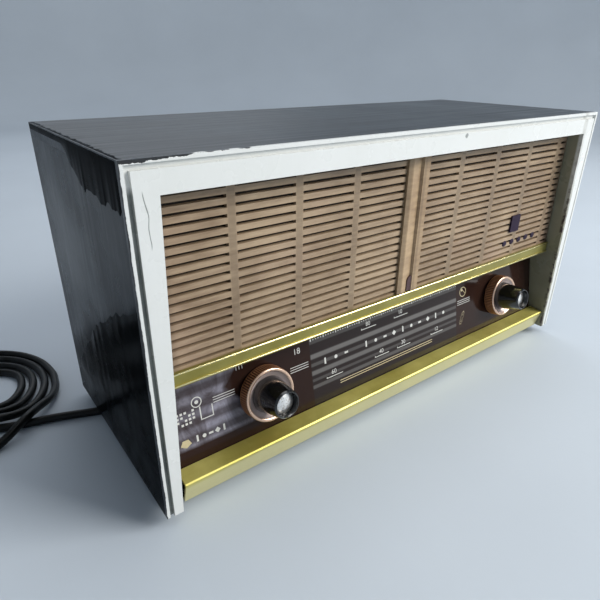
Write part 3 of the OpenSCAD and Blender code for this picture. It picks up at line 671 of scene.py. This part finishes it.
def revolve(bm, outline, centre, steps, radius_at):
    """Turns an outline of (radius, height, material index) in millimetres about the dial's own normal."""
    rings = []
    for angle in angles(steps):
        ring = []
        for index, (radius, height, _) in enumerate(outline):
            r = radius_at(index, radius, angle)
            point = DIAL @ Vector((centre + r * MM * math.cos(angle), r * MM * math.sin(angle), height * MM))
            ring.append(bm.verts.new(point))
        rings.append(ring)
    for number, face in enumerate(skin(bm, rings, wrap=True)):
        face.material_index = outline[number % len(outline)][2]


def tube_into(bm, points, radius, sides=8, material=0):
    """Adds a closed tube of straight steps along the points, in metres."""
    rings = []
    for i, point in enumerate(points):
        ahead = (points[min(i + 1, len(points) - 1)] - points[max(i - 1, 0)]).normalized()
        across = ahead.orthogonal().normalized()
        if rings:
            across = (side - ahead * side.dot(ahead)).normalized()
        side, other = across, ahead.cross(across)
        r = radius[i] if isinstance(radius, (list, tuple)) else radius
        rings.append([bm.verts.new(point + (side * math.cos(a) + other * math.sin(a)) * r)
                      for a in angles(sides)])
    for face in skin(bm, rings):
        face.material_index = material
    for ring in (rings[0][::-1], rings[-1]):
        bm.faces.new(ring).material_index = material


# ---- thin dark sheets on the left side, painted where it shows a dark reflection ----

FILM = 0.1 * MM
FILM_ROOT = 0.3 * MM
FILM_STEPS = 260
CORNER = 1.2 * MM
CORNER_STEPS = 5
# The upper sheet of painted dark reflection hangs down by HANG_BACK at the back and by HANG_FRONT more at the
# front, in millimetres.
HANG_BACK = 4
HANG_FRONT = 17
# The longer part ends this far back from the front, and fades over this length.
HANG_ENDS = 88
HANG_FADE = 36
# The lower sheet's height at the front edge, and how it falls towards the back, in millimetres.
FOOT_FRONT = 129
FOOT_FALL = 0.35
FOOT_BEND = 0.0023
FOOT_LEAST = 8


def film(name, material, path_at):
    """Thin closed skin along the depth of the set. path_at(y) gives places, each with its outward normal."""
    bm = bmesh.new()
    columns = []
    for k in range(FILM_STEPS + 1):
        y = FRONT_EDGE + 1 * MM + (BACK_EDGE - FRONT_EDGE - 2 * MM) * k / FILM_STEPS
        path = [(Vector((x, y, z)), Vector((nx, 0, nz))) for x, z, nx, nz in path_at((y - FRONT_EDGE) / MM)]
        ends = (0, len(path) - 1)
        outer = [place + normal * (0.1 * FILM if i in ends else FILM)
                 for i, (place, normal) in enumerate(path)]
        inner = [place - normal * FILM_ROOT for place, normal in path]
        columns.append([bm.verts.new(point) for point in outer + inner[::-1]])
    skin(bm, columns)
    bm.faces.new(columns[0])
    bm.faces.new(columns[-1][::-1])
    add_piece(name, bm, [material], 40, turn_out=True)


def eased(share):
    share = max(0.0, min(1.0, share))
    return share * share * (3 - 2 * share)


def drip_sum(drips, y):
    """Length of the runs at depth y, each given as its place, half width and length in millimetres."""
    return sum(length * math.exp(-((y - place) / half) ** 2) for place, half, length in drips)


def side_films():
    """Painted dark reflection: one thin dark sheet that hangs over the top edge in runs, and one over the
    lower front of the side.
    """
    chance = random.Random(11)

    def runs(count, step, start, wander, half, length):
        draw = chance.uniform
        return [(start + i * step + draw(-wander, wander), draw(*half), draw(*length)) for i in range(count)]

    drips = runs(14, 5.5, 4, 2.5, (1.2, 3.6), (0.2, 3.2))
    brush = runs(27, 6, 0, 3, (2.5, 6.0), (-1.5, 2))
    wrap = runs(52, 3.1, 0, 1, (0.8, 2.0), (0, 1.6))
    left = -HALF_WIDTH

    def over_edge(y):
        low = TOP - (HANG_BACK + HANG_FRONT * eased((HANG_ENDS - y) / HANG_FADE) + drip_sum(drips, y)) * MM
        path = [(left, low, -1, 0), (left, low + 0.4 * MM, -1, 0), (left, TOP - CORNER, -1, 0)]
        for k in range(1, CORNER_STEPS):
            a = math.pi / 2 * k / CORNER_STEPS
            c, s = math.cos(a), math.sin(a)
            path.append((left + CORNER * (1 - c), TOP - CORNER * (1 - s), -c, s))
        end = left + CORNER + (0.8 + drip_sum(wrap, y)) * MM
        return path + [(left + CORNER, TOP, 0, 1), (end - 0.2 * MM, TOP, 0, 1), (end, TOP, 0, 1)]

    def at_foot(y):
        height = FOOT_FRONT - FOOT_FALL * y - FOOT_BEND * y * y + drip_sum(brush, y)
        high = UNDERSIDE + max(FOOT_LEAST, height) * MM
        heights = (UNDERSIDE + 1 * MM, UNDERSIDE + 1.5 * MM, high - 0.6 * MM, high)
        return [(left, z, -1, 0) for z in heights]

    # Both sheets are painted dark reflection: nearly black, with almost no sheen.
    film("edge_dark_reflection_film", dark_reflection_black("edge_black", 0.004), over_edge)
    film("foot_dark_reflection_film", dark_reflection_black("foot_black", 0.007), at_foot)


side_films()


# ---- cords ----

CORD_R = 3


def on_floor(*places):
    """Cord points that lie on the floor."""
    return [(x, y, CORD_R) for x, y in places]


# The route from the gland to the loops and from the loops to the plug, as in the CAD source, in millimetres.
cord_route = [
    (-130, 104, 32), (-130, 112, 31.6), (-130, 121, 29.5), (-129.5, 130, 25), (-128, 138, 18.5),
    (-125, 145, 11.5), (-120, 150.5, 6.2), (-112, 154.5, 3.6),
] + on_floor(
    (-102, 155), (-92, 151.5), (-84.5, 145), (-79.5, 136), (-77.5, 125), (-78.5, 113), (-82, 101), (-87, 89),
    (-94, 77), (-103, 65), (-114, 55), (-127, 47.5), (-141, 43.5), (-156, 42.5), (-171, 44), (-186, 47.5),
    (-201, 52.5), (-216, 58.5), (-230, 63.5), (-243, 67), (-256, 71),
)
tail_route = [
    (-235, 75.5, 8), (-241, 68.5, 9.6), (-246, 63.8, 9.6), (-252, 59.8, 8), (-259, 56, 5.5),
    (-266, 53, 3.6), (-275, 50, 3), (-284, 47.4, 4.6), (-292, 46, 7), (-300, 46, 7),
]
# Loops from the inner one out: left, top, right and bottom limits of each turn's centreline.
turns = [
    (-318, 160, -237, 93.5),
    (-327, 173, -229, 85.5),
    (-336, 185.5, -221, 76.5),
    (-345, 197, -214, None),
]
TURN_STEPS = 5
# Heights of the lower half of a turn, which climbs over the run that comes in from the set.
OVER_RUN = [3, 3, 3.5, 6, 9.2, 9.2, 8, 5, 3, 3]


def quarter(start, end, first_across):
    """Points of a quarter ellipse after start, up to and with end, leaving along x if first_across."""
    points = []
    for k in range(1, TURN_STEPS + 1):
        a = math.pi / 2 * k / TURN_STEPS
        s, c = math.sin(a), 1 - math.cos(a)
        fx, fy = (s, c) if first_across else (c, s)
        points.append((start[0] + (end[0] - start[0]) * fx, start[1] + (end[1] - start[1]) * fy))
    return points


def loop_points():
    """The loose turns, wound from the inner one outwards, clockwise as seen from above."""
    line = [(-272, 77.5), (-288, 86.5), (-303, 98), (-313, 111), (-318, 127)]
    lift = [CORD_R] * len(line)
    for number, (left, top, right, bottom) in enumerate(turns):
        crest, shoulder = ((left + right) / 2, top), (right, 132 - 2 * number)
        line += quarter(line[-1], crest, False) + quarter(crest, shoulder, True)
        lift += [CORD_R] * (2 * TURN_STEPS)
        if bottom is not None:
            low, after = (-270 + 4 * number, bottom), (turns[number + 1][0], 128 + number)
            line += quarter(shoulder, low, False) + quarter(low, after, True)
            lift += OVER_RUN
    # The outer turn runs down to the crossing and on to the plug.
    line += [(-214.6, 116), (-217.5, 101), (-224, 87)]
    lift += [3, 3.6, 5.5]
    return [(x, y, z) for (x, y), z in zip(line, lift)]


def smooth_line(points, per_span=6):
    """A smooth line through given points, each span a cubic that looks at its two neighbours."""
    out = []
    for i in range(len(points) - 1):
        p0 = Vector(points[max(i - 1, 0)])
        p1, p2 = Vector(points[i]), Vector(points[i + 1])
        p3 = Vector(points[min(i + 2, len(points) - 1)])
        for k in range(per_span):
            t = k / per_span
            out.append(0.5 * (2 * p1 + (p2 - p0) * t + (2 * p0 - 5 * p1 + 4 * p2 - p3) * t * t
                              + (3 * p1 - p0 - 3 * p2 + p3) * t ** 3))
    out.append(Vector(points[-1]))
    return out


def make_cord():
    """The whole mains cord, from the gland to the plug, as one tube that never dips below the floor."""
    route = cord_route + loop_points() + tail_route
    line = [Vector((p.x, p.y, max(p.z, CORD_R))) * MM for p in smooth_line(route)]
    curve = bpy.data.curves.new("mains_cord", "CURVE")
    curve.dimensions = "3D"
    curve.bevel_depth = CORD_R * MM
    curve.bevel_resolution = 5
    curve.use_fill_caps = True
    spline = curve.splines.new("POLY")
    spline.points.add(len(line) - 1)
    for point, place in zip(spline.points, line):
        point.co = (*place, 1)
        point.radius = 1
    spline.use_smooth = True
    curve.materials.append(cord_rubber())
    cord = in_scene("mains_cord", curve)
    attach(cord, "case")
    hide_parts("mains_cord_run", "mains_cord_coil", "mains_cord_tail")
    return cord, line


mains_cord, cord_line = make_cord()


def make_gland():
    """Ribbed strain relief, tapering along the cord."""
    low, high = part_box("cord_gland")
    centre = (low + high) / 2
    outline = [(3.1, 0), (6.3, 0), (6.3, 1.4), (4.9, 1.5), (4.9, 4.6), (7.2, 4.7), (7.4, 5.2), (7.3, 6.2),
               (5.4, 7.4)]
    for rib in range(6):
        start = 8.2 + rib * 2.8
        radius = 5.2 - rib * 0.27
        outline += [(radius - 0.7, start), (radius - 0.7, start + 0.7), (radius, start + 1.0),
                    (radius - 0.1, start + 2.3)]
    outline += [(3.7, 25.2), (3.4, 25.8), (3.1, 25.8)]
    bm = bmesh.new()
    rings = []
    for a in angles(40):
        across, upward = math.cos(a) * MM, math.sin(a) * MM
        rings.append([bm.verts.new((centre.x + r * across, low.y + h * MM, centre.z + r * upward))
                      for r, h in outline])
    skin(bm, rings, wrap=True)
    gland = add_piece("cord_strain_relief", bm, [RUBBER], 30, turn_out=True)
    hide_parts("cord_gland")
    return gland


gland = make_gland()


# ---- knobs ----

KNURLS = 72
KNURL_STEPS = 4
KNURL_DEPTH = 0.45


def knurled_ring(name, node, body, centre, bore):
    """Outer ring: smooth copper flange behind, fine knurling in front, bright rim, dished face."""
    side, rim, dish, groove = 0, 1, 2, 3
    outline = [
        (bore, 1.5, side), (16.8, 1.5, side), (17.7, 1.9, side), (17.9, 2.4, side), (17.8, 5.2, side),
        (17.75, 5.3, side), (17.7, 9.0, side), (17.4, 9.3, rim), (17.5, 9.7, rim),
        (17.2, 10.1, rim), (16.6, 10.2, rim), (15.8, 10.0, rim), (15.3, 9.5, dish), (14.7, 8.7, dish),
        (13.6, 7.9, dish), (12.4, 7.1, dish), (11.2, 6.65, dish), (bore, 6.6, side),
    ]
    knurled = (3, 4, 5, 6)

    def radius_at(index, radius, angle):
        if index in knurled:
            return radius - KNURL_DEPTH * (1 + math.cos(KNURLS * angle)) / 2
        return radius

    bm = bmesh.new()
    revolve(bm, outline, centre, KNURLS * KNURL_STEPS, radius_at)
    for number, face in enumerate(bm.faces):
        step, index = divmod(number, len(outline))
        if index in knurled and step % KNURL_STEPS in (0, KNURL_STEPS - 1):
            face.material_index = groove
    ring = add_piece(name, bm, RING_LOOKS, 50, body, turn_out=True)
    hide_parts(node)


knurled_ring("tone_ring_knurled", "tone_ring", "tone", left_axis.x, 4.1)
knurled_ring("tuning_ring_knurled", "tuning_ring", "tuning", right_axis.x, 6.3)


# ---- print on the dial ----

PRINT_LIFT = 0.06
# A font's nominal size over the height of its digits.
FONT_SIZE = 1.35


class Print:
    """Flat marks just in front of the glass, gathered into one piece. Places and sizes are in millimetres."""

    def __init__(self):
        self.bm = bmesh.new()

    def shape(self, corners):
        self.bm.faces.new([self.bm.verts.new(on_dial(x, v, PRINT_LIFT)) for x, v in corners])

    def bar(self, x, v, width, height, lean=0.0):
        w, h = width / 2, height / 2
        self.shape([(x - w - lean * h, v - h), (x + w - lean * h, v - h),
                    (x + w + lean * h, v + h), (x - w + lean * h, v + h)])

    def ring(self, x, v, r, line, steps=28, squash=1.0, turn=0.0):
        def at(radius, k):
            a = 2 * math.pi * k / steps
            px, pv = radius * squash * math.cos(a), radius * math.sin(a)
            c, s = math.cos(turn), math.sin(turn)
            return (x + px * c - pv * s, v + px * s + pv * c)
        for k in range(steps):
            self.shape([at(r, k), at(r, k + 1), at(r - line, k + 1), at(r - line, k)])

    def disc(self, x, v, r, steps=16):
        self.shape([(x + r * math.cos(a), v + r * math.sin(a)) for a in angles(steps)])

    def number(self, text, x, v, size):
        curve = bpy.data.curves.new("number", "FONT")
        curve.body = text
        curve.size = size * MM * FONT_SIZE
        curve.align_x = "CENTER"
        curve.align_y = "CENTER"
        holder = in_scene("number", curve)
        bpy.context.view_layer.update()
        flat = bpy.data.meshes.new_from_object(holder.evaluated_get(bpy.context.evaluated_depsgraph_get()))
        flat.transform(DIAL @ Matrix.Translation((x * MM, v * MM, PRINT_LIFT * MM)))
        self.bm.from_mesh(flat)
        bpy.data.objects.remove(holder)

    def finish(self, name, material):
        add_piece(name, self.bm, [material])


def mark_row(ink, start, end, count, v, size, skip=()):
    """Spaced row of plain marks: tall bar, dot, short bar and diamond in turn."""
    for i in range(count):
        if i in skip:
            continue
        x = start + (end - start) * i / (count - 1)
        if i % 4 == 0:
            ink.bar(x, v, size * 0.3, size)
        elif i % 4 == 1:
            ink.disc(x, v, size * 0.3)
        elif i % 4 == 2:
            ink.bar(x, v, size * 0.7, size * 0.32)
        else:
            h = size * 0.46
            ink.shape([(x - h, v), (x, v - h), (x + h, v), (x, v + h)])


def dial_marks():
    """Numbers, rows of marks and plain signs. None of them spells a word."""
    white = Print()
    gold = Print()
    for i in range(70):
        white.bar(-81 + i * 2.23, 21.1, 1.0, 0.9 if i % 5 else 1.8)
    for x, v, text in ((-28, 17.6, "80"), (6, 17.2, "10"), (-63, -8, "60"), (-16, -8, "40"),
                       (8, -8.2, "30"), (47.5, -9.2, "12")):
        white.number(text, x, v, 3.4)
        white.bar(x + 0.5, v - 3.1, 15, 0.55)
        white.bar(x - 6.6, v - 2.7, 0.5, 1.2)
    white.number("18", -93, 17, 4.4)
    mark_row(white, -70, 57, 14, 2.6, 4.6, skip=(3,))
    for v in (-16.9, -18.7):
        gold.bar(-8, v, 100, 0.55)
    for x in (-92, 84):
        for i in range(3):
            white.bar(x, 3.4 + 1.7 * i, 15 if x < 0 else 17, 0.42)
    # Right-hand marks: a ring with a needle, and a tilted oval.
    gold.ring(83, 13.8, 4.3, 0.6)
    gold.bar(83.6, 14.4, 0.6, 5.5, lean=-0.9)
    gold.disc(81.6, 15.6, 1.1)
    gold.ring(81.5, -9.2, 6.0, 0.45, squash=0.32, turn=-0.45)
    gold.ring(81.5, -9.2, 3.6, 0.35, squash=0.22, turn=-0.45)
    # Left-hand marks: a ring over a small grid of bars, and a row of plain shapes under it.
    white.ring(-167, 9.6, 3.4, 0.6)
    white.disc(-167, 9.6, 1.2)
    for row in range(4):
        for column in range(5):
            if (row + column) % 4 != 3:
                white.bar(-180 + column * 2.5, 5.6 - row * 2.4, 1.5, 1.4)
    white.bar(-165.5, 1.6, 0.7, 9)
    white.bar(-161.5, -2.5, 8.5, 0.6)
    white.bar(-157.6, 1.2, 0.6, 7.6)
    for i in range(3):
        white.bar(-149, 5.2 + 1.6 * i, 15, 0.42)
    mark_row(white, -170, -152, 5, -13.2, 4.2)
    gold.shape([(-181, -14.6), (-177.5, -16.6), (-174, -14.6), (-175.8, -11.4), (-179.4, -11.4)])
    for x in (-138.5, -136.4, -134.3):
        white.bar(x, 21.4, 0.4, 3.4)
    white.finish("dial_print_white", dial_ink("ink_white", (0.75, 0.74, 0.7)))
    gold.finish("dial_print_gold", dial_ink("ink_gold", (0.72, 0.6, 0.36), 0.3))


dial_marks()


# ---- small trims on the grille ----

def grille_studs():
    """Five small dark studs in a row under the badge."""
    bm = bmesh.new()
    z = UNDERSIDE + 96.6 * MM
    for i in range(5):
        x = (116.4 + i * 10.6) * MM
        made = bmesh.ops.create_uvsphere(bm, u_segments=20, v_segments=10, radius=2.2 * MM)
        shape = Matrix.Translation((x, GRILLE_FACE, z)) @ Matrix.Diagonal((1.4, 0.35, 1.15, 1))
        bmesh.ops.transform(bm, matrix=shape, verts=made["verts"])
    add_piece("grille_studs", bm, [BADGE], 60)


def pillar_tab():
    """A dark tab with a rounded top at the foot of the pillar."""
    bm = bmesh.new()
    low, high = Vector((-5, 0, 86)) * MM, Vector((2, 0, 97)) * MM
    crown, thick, steps = 3 * MM, 1.6 * MM, 8
    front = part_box("grille_pillar")[0].y + 0.4 * MM
    shoulder = high.z - crown
    middle, radius = (low.x + high.x) / 2, (high.x - low.x) / 2
    outline = [(low.x, low.z), (high.x, low.z), (high.x, shoulder)]
    outline += [(middle + radius * math.cos(a), shoulder + crown * math.sin(a))
                for a in (math.pi * k / steps for k in range(1, steps + 1))]
    face = bm.faces.new([bm.verts.new((x, front, UNDERSIDE + z)) for x, z in outline])
    made = bmesh.ops.extrude_face_region(bm, geom=[face])["geom"]
    back = [part for part in made if isinstance(part, bmesh.types.BMVert)]
    bmesh.ops.translate(bm, vec=(0, thick, 0), verts=back)
    add_piece("pillar_tab", bm, [moulded("maroon", (0.06, 0.022, 0.022), 0.4, grain=700)], 40,
              turn_out=True)


grille_studs()
pillar_tab()


def strip_beads():
    """Polished half-round edges along the top and the foot of the divider strip."""
    low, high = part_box("divider_strip")
    bm = bmesh.new()
    left, right, y = low.x + 1.2 * MM, high.x - 1.2 * MM, low.y + 0.45 * MM
    for z, radius in ((high.z - 0.75 * MM, 0.7 * MM), (low.z + 0.7 * MM, 0.6 * MM)):
        tube_into(bm, [Vector((x, y, z)) for x in (left, (left + right) / 2, right)], radius, 12)
    polished = moulded("gold_bright", (0.86, 0.76, 0.4), 0.16, 1.0, grain=900, depth=0.02, spread=0.12)
    add_piece("strip_edges", bm, [polished], 60)


def speaker_weave():
    """One layer of woven cloth, as wide as the opening at each height, with faint hollows."""
    low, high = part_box("speaker_cloth")
    columns, rows = 60, 16
    middle, hollow, tuck = (low.y + high.y) / 2, 0.12 * MM, 1 * MM
    bm = bmesh.new()
    grid = []
    for j in range(rows + 1):
        z = low.z + (high.z - low.z) * j / rows
        half = OPEN_LOW_HALF + (OPEN_TOP_HALF - OPEN_LOW_HALF) * (z - UNDERSIDE) / OPEN_TOP - tuck
        grid.append([bm.verts.new((-half + 2 * half * i / columns,
                                   middle + hollow * math.sin(i * 0.9) * math.sin(j * 1.3), z))
                     for i in range(columns + 1)])
    skin(bm, grid, ring=False)
    weave = add_piece("speaker_cloth_woven", bm, [cloth()], 60)
    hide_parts("speaker_cloth")


speaker_weave()


# ---- screws and the parts on the circuit board ----

SCREW_HEAD = 3.4 * MM
SCREW_RISE = 1.5 * MM
SLOT_HALF = 0.45 * MM
SLOT_DEPTH = 0.8 * MM


def slotted_head(bm, x, y, z, angle):
    """A dome on the plane at depth y, with a slot turned by the angle."""
    slot = SLOT_HALF / SCREW_HEAD
    grid = []
    for a in (-1, -0.85, -0.65, -0.4, -slot - 0.002, -slot, slot, slot + 0.002, 0.4, 0.65, 0.85, 1):
        line = []
        for b in (-1, -0.85, -0.6, -0.3, 0, 0.3, 0.6, 0.85, 1):
            u, w = a * SCREW_HEAD, b * SCREW_HEAD * math.sqrt(1 - a * a)
            dome = SCREW_RISE * math.sqrt(max(0, 1 - (u * u + w * w) / SCREW_HEAD ** 2))
            if abs(u) <= SLOT_HALF * 1.001:
                dome = max(0.05 * MM, dome - SLOT_DEPTH)
            line.append(bm.verts.new((x + u * math.cos(angle) - w * math.sin(angle), y + dome,
                                      z + u * math.sin(angle) + w * math.cos(angle))))
        grid.append(line)
    skin(bm, grid, ring=False)


def make_screws():
    """Domed screws with a slot, in two upright rows down the rear cover."""
    low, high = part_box("rear_cover_screws")
    bm = bmesh.new()
    turn = random.Random(4)
    for x in (low.x + SCREW_HEAD, high.x - SCREW_HEAD):
        for share in (0, 0.493, 1):
            z = low.z + SCREW_HEAD + (high.z - low.z - 2 * SCREW_HEAD) * share
            slotted_head(bm, x, high.y - SCREW_RISE - 0.1 * MM, z, turn.uniform(0, math.pi))
    bmesh.ops.remove_doubles(bm, verts=bm.verts, dist=1e-6)
    add_piece("rear_screw_heads", bm, [STEEL], 35)


WIRE_R = 0.25 * MM


def make_transistors():
    """Seven round-topped metal transistors standing on their three legs."""
    low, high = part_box("circuit_board")
    base = high.z + 3.2 * MM
    can = [(0.05, 0), (4.1, 0.01), (4.1, 0.7), (3.2, 0.9), (3.1, 5.4), (2.6, 6.1), (0.9, 6.3), (0.05, 6.31)]
    bm = bmesh.new()
    for i in range(7):
        foot = Vector((low.x + (14 + i * 22) * MM, high.y - (27 + 5 * (i % 2)) * MM, base))
        tube_into(bm, [foot + Vector((0, 0, h * MM)) for _, h in can], [r * MM for r, _ in can], 20)
        for k in range(3):
            a = 2 * math.pi * (k + 0.25) / 4
            outward = Vector((math.cos(a), math.sin(a), 0))
            top = foot + outward * 1.3 * MM + Vector((0, 0, 0.3 * MM))
            toe = Vector((foot.x, foot.y, high.z)) + outward * 2.4 * MM
            tube_into(bm, [toe, (toe + top) / 2 + Vector((0, 0, 0.4 * MM)), top], WIRE_R, 6, 1)
    add_piece("transistors", bm, [SHEET, STEEL], 40)


def make_resistors():
    """Small banded resistors lying across the board between the cans and the transistors."""
    low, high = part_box("circuit_board")
    body = [(-3.4, 0.5), (-3.2, 1.15), (-2.3, 1.25), (-1.9, 1.05)]
    body += [(-along, r) for along, r in reversed(body)]
    bm = bmesh.new()
    for i in range(13):
        y = low.y + (7.2 if i % 2 else 14.5) * MM
        middle = Vector((low.x + (10 + i * 11.6) * MM, y, high.z + 1.5 * MM))
        points = [middle + Vector((0, along * 0.6 * MM, 0)) for along, _ in body]
        tube_into(bm, points, [r * MM for _, r in body], 12)
        for end in (-1, 1):
            start = middle + Vector((0, end * 2.0 * MM, 0))
            bend = start + Vector((0, end * 1.2 * MM, 0))
            tube_into(bm, [start, bend, bend - Vector((0, -end * 0.3 * MM, 1.4 * MM))], WIRE_R, 6, 1)
    add_piece("resistors", bm, [moulded("resistor_body", (0.42, 0.3, 0.18), 0.4), STEEL], 40)


def make_wiring():
    """Sleeved wires from the board: two to the loudspeaker and two to the mains transformer."""
    low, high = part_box("circuit_board")
    left, right, back, board = low.x / MM, high.x / MM, high.y / MM, high.z / MM + 0.5
    magnet, magnet_rear = (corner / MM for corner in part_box("speaker_magnet"))
    core, core_rear = (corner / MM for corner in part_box("transformer_core"))
    bm = bmesh.new()
    for lane in (0, 1):
        to_speaker = [(left + 8 + 4 * lane, back - 4, board), (left + 6 + 5 * lane, back - 1, 75 - 5 * lane),
                      (magnet.x - 12 + 3 * lane, 4 + 2 * lane - magnet_rear.y, 120 - 5 * lane),
                      (magnet.x - 13 + 2 * lane, -34, 146 - 5 * lane)]
        to_mains = [(right - 5, back - 6 - 5 * lane, board),
                    (right + 18 - 2 * lane, back - 2 - 6 * lane, board + 7 - 2 * lane),
                    (core.x - 26 - lane, core_rear.y + 3 - lane, board + 3 - lane),
                    (core.x + 12 + 4 * lane, core_rear.y + 4 + 0.5 * lane, 45 - 3 * lane)]
        for run in (to_speaker, to_mains):
            tube_into(bm, [p * MM for p in smooth_line(run, 12)], 0.7 * MM, 8, lane)
    sleeves = [moulded("red_sleeve", (0.35, 0.03, 0.02), 0.35),
               moulded("grey_sleeve", (0.2, 0.2, 0.21), 0.35)]
    add_piece("wiring", bm, sleeves, 60)


strip_beads()
make_screws()
make_transistors()
make_resistors()
make_wiring()

# ---- floor and light ----

FLOOR_Z = -0.1 * MM


def stage():
    """Pale paper floor that curves up all round the set into a wall."""
    bm = bmesh.new()
    flat, bend, height, bend_steps = 1.85, 0.85, 3.2, 16
    profile = [(flat * share, 0) for share in (0.2, 0.5, 1)]
    profile += [(flat + bend * math.sin(a), bend * (1 - math.cos(a)))
                for a in (math.pi / 2 * k / bend_steps for k in range(1, bend_steps + 1))]
    profile.append((flat + bend, height))
    middle = bm.verts.new((0, 0, FLOOR_Z))
    rings = [[bm.verts.new((r * math.cos(a), r * math.sin(a), z + FLOOR_Z)) for a in angles(96)]
             for r, z in profile]
    for here, after in zip(rings[0], rings[0][1:] + rings[0][:1]):
        bm.faces.new((middle, here, after))
    skin(bm, rings[::-1])
    p = Paint("stage_paper", (0.5, 0.55, 0.6), 0.6)
    p.colour(p.blend(p.noise(3.0, 4), (0.47, 0.525, 0.585), (0.55, 0.61, 0.675)))
    p.bump(p.noise(2.2, 2), 30, 0.25)
    p.bump(p.noise(90, 4), 0.3, 0.3)
    data = meshed("stage", bm, [p.material])
    data.shade_smooth()
    in_scene("stage", data)


def area_light(name, place, aim, size, power, colour):
    data = bpy.data.lights.new(name, "AREA")
    data.shape = "RECTANGLE"
    data.size, data.size_y = size
    data.energy = power
    data.color = colour
    light = in_scene(name, data)
    light.location = place
    light.rotation_mode = "QUATERNION"
    light.rotation_quaternion = (Vector(aim) - Vector(place)).to_track_quat("-Z", "Y")


def lights():
    """A soft window in front on the right, with weaker light from above, from behind and all round."""
    bpy.context.scene.view_settings.view_transform = "Standard"
    world = bpy.data.worlds.new("world")
    bpy.context.scene.world = world
    world.use_nodes = True
    background = world.node_tree.nodes["Background"]
    background.inputs["Color"].default_value = (0.9, 0.95, 1.0, 1)
    background.inputs["Strength"].default_value = 0.2
    area_light("window", (1.2, -1.3, 1.15), (0, 0, 0.1), (1.1, 1.0), 50, (1.0, 0.985, 0.95))
    area_light("ceiling", (0.5, -0.1, 1.9), (0, 0, 0.1), (1.6, 1.2), 12, (0.95, 0.97, 1.0))
    area_light("behind", (0.3, 1.3, 1.3), (0, 0.2, 0.1), (1.2, 1.2), 6, (0.93, 0.96, 1.0))


stage()
lights()
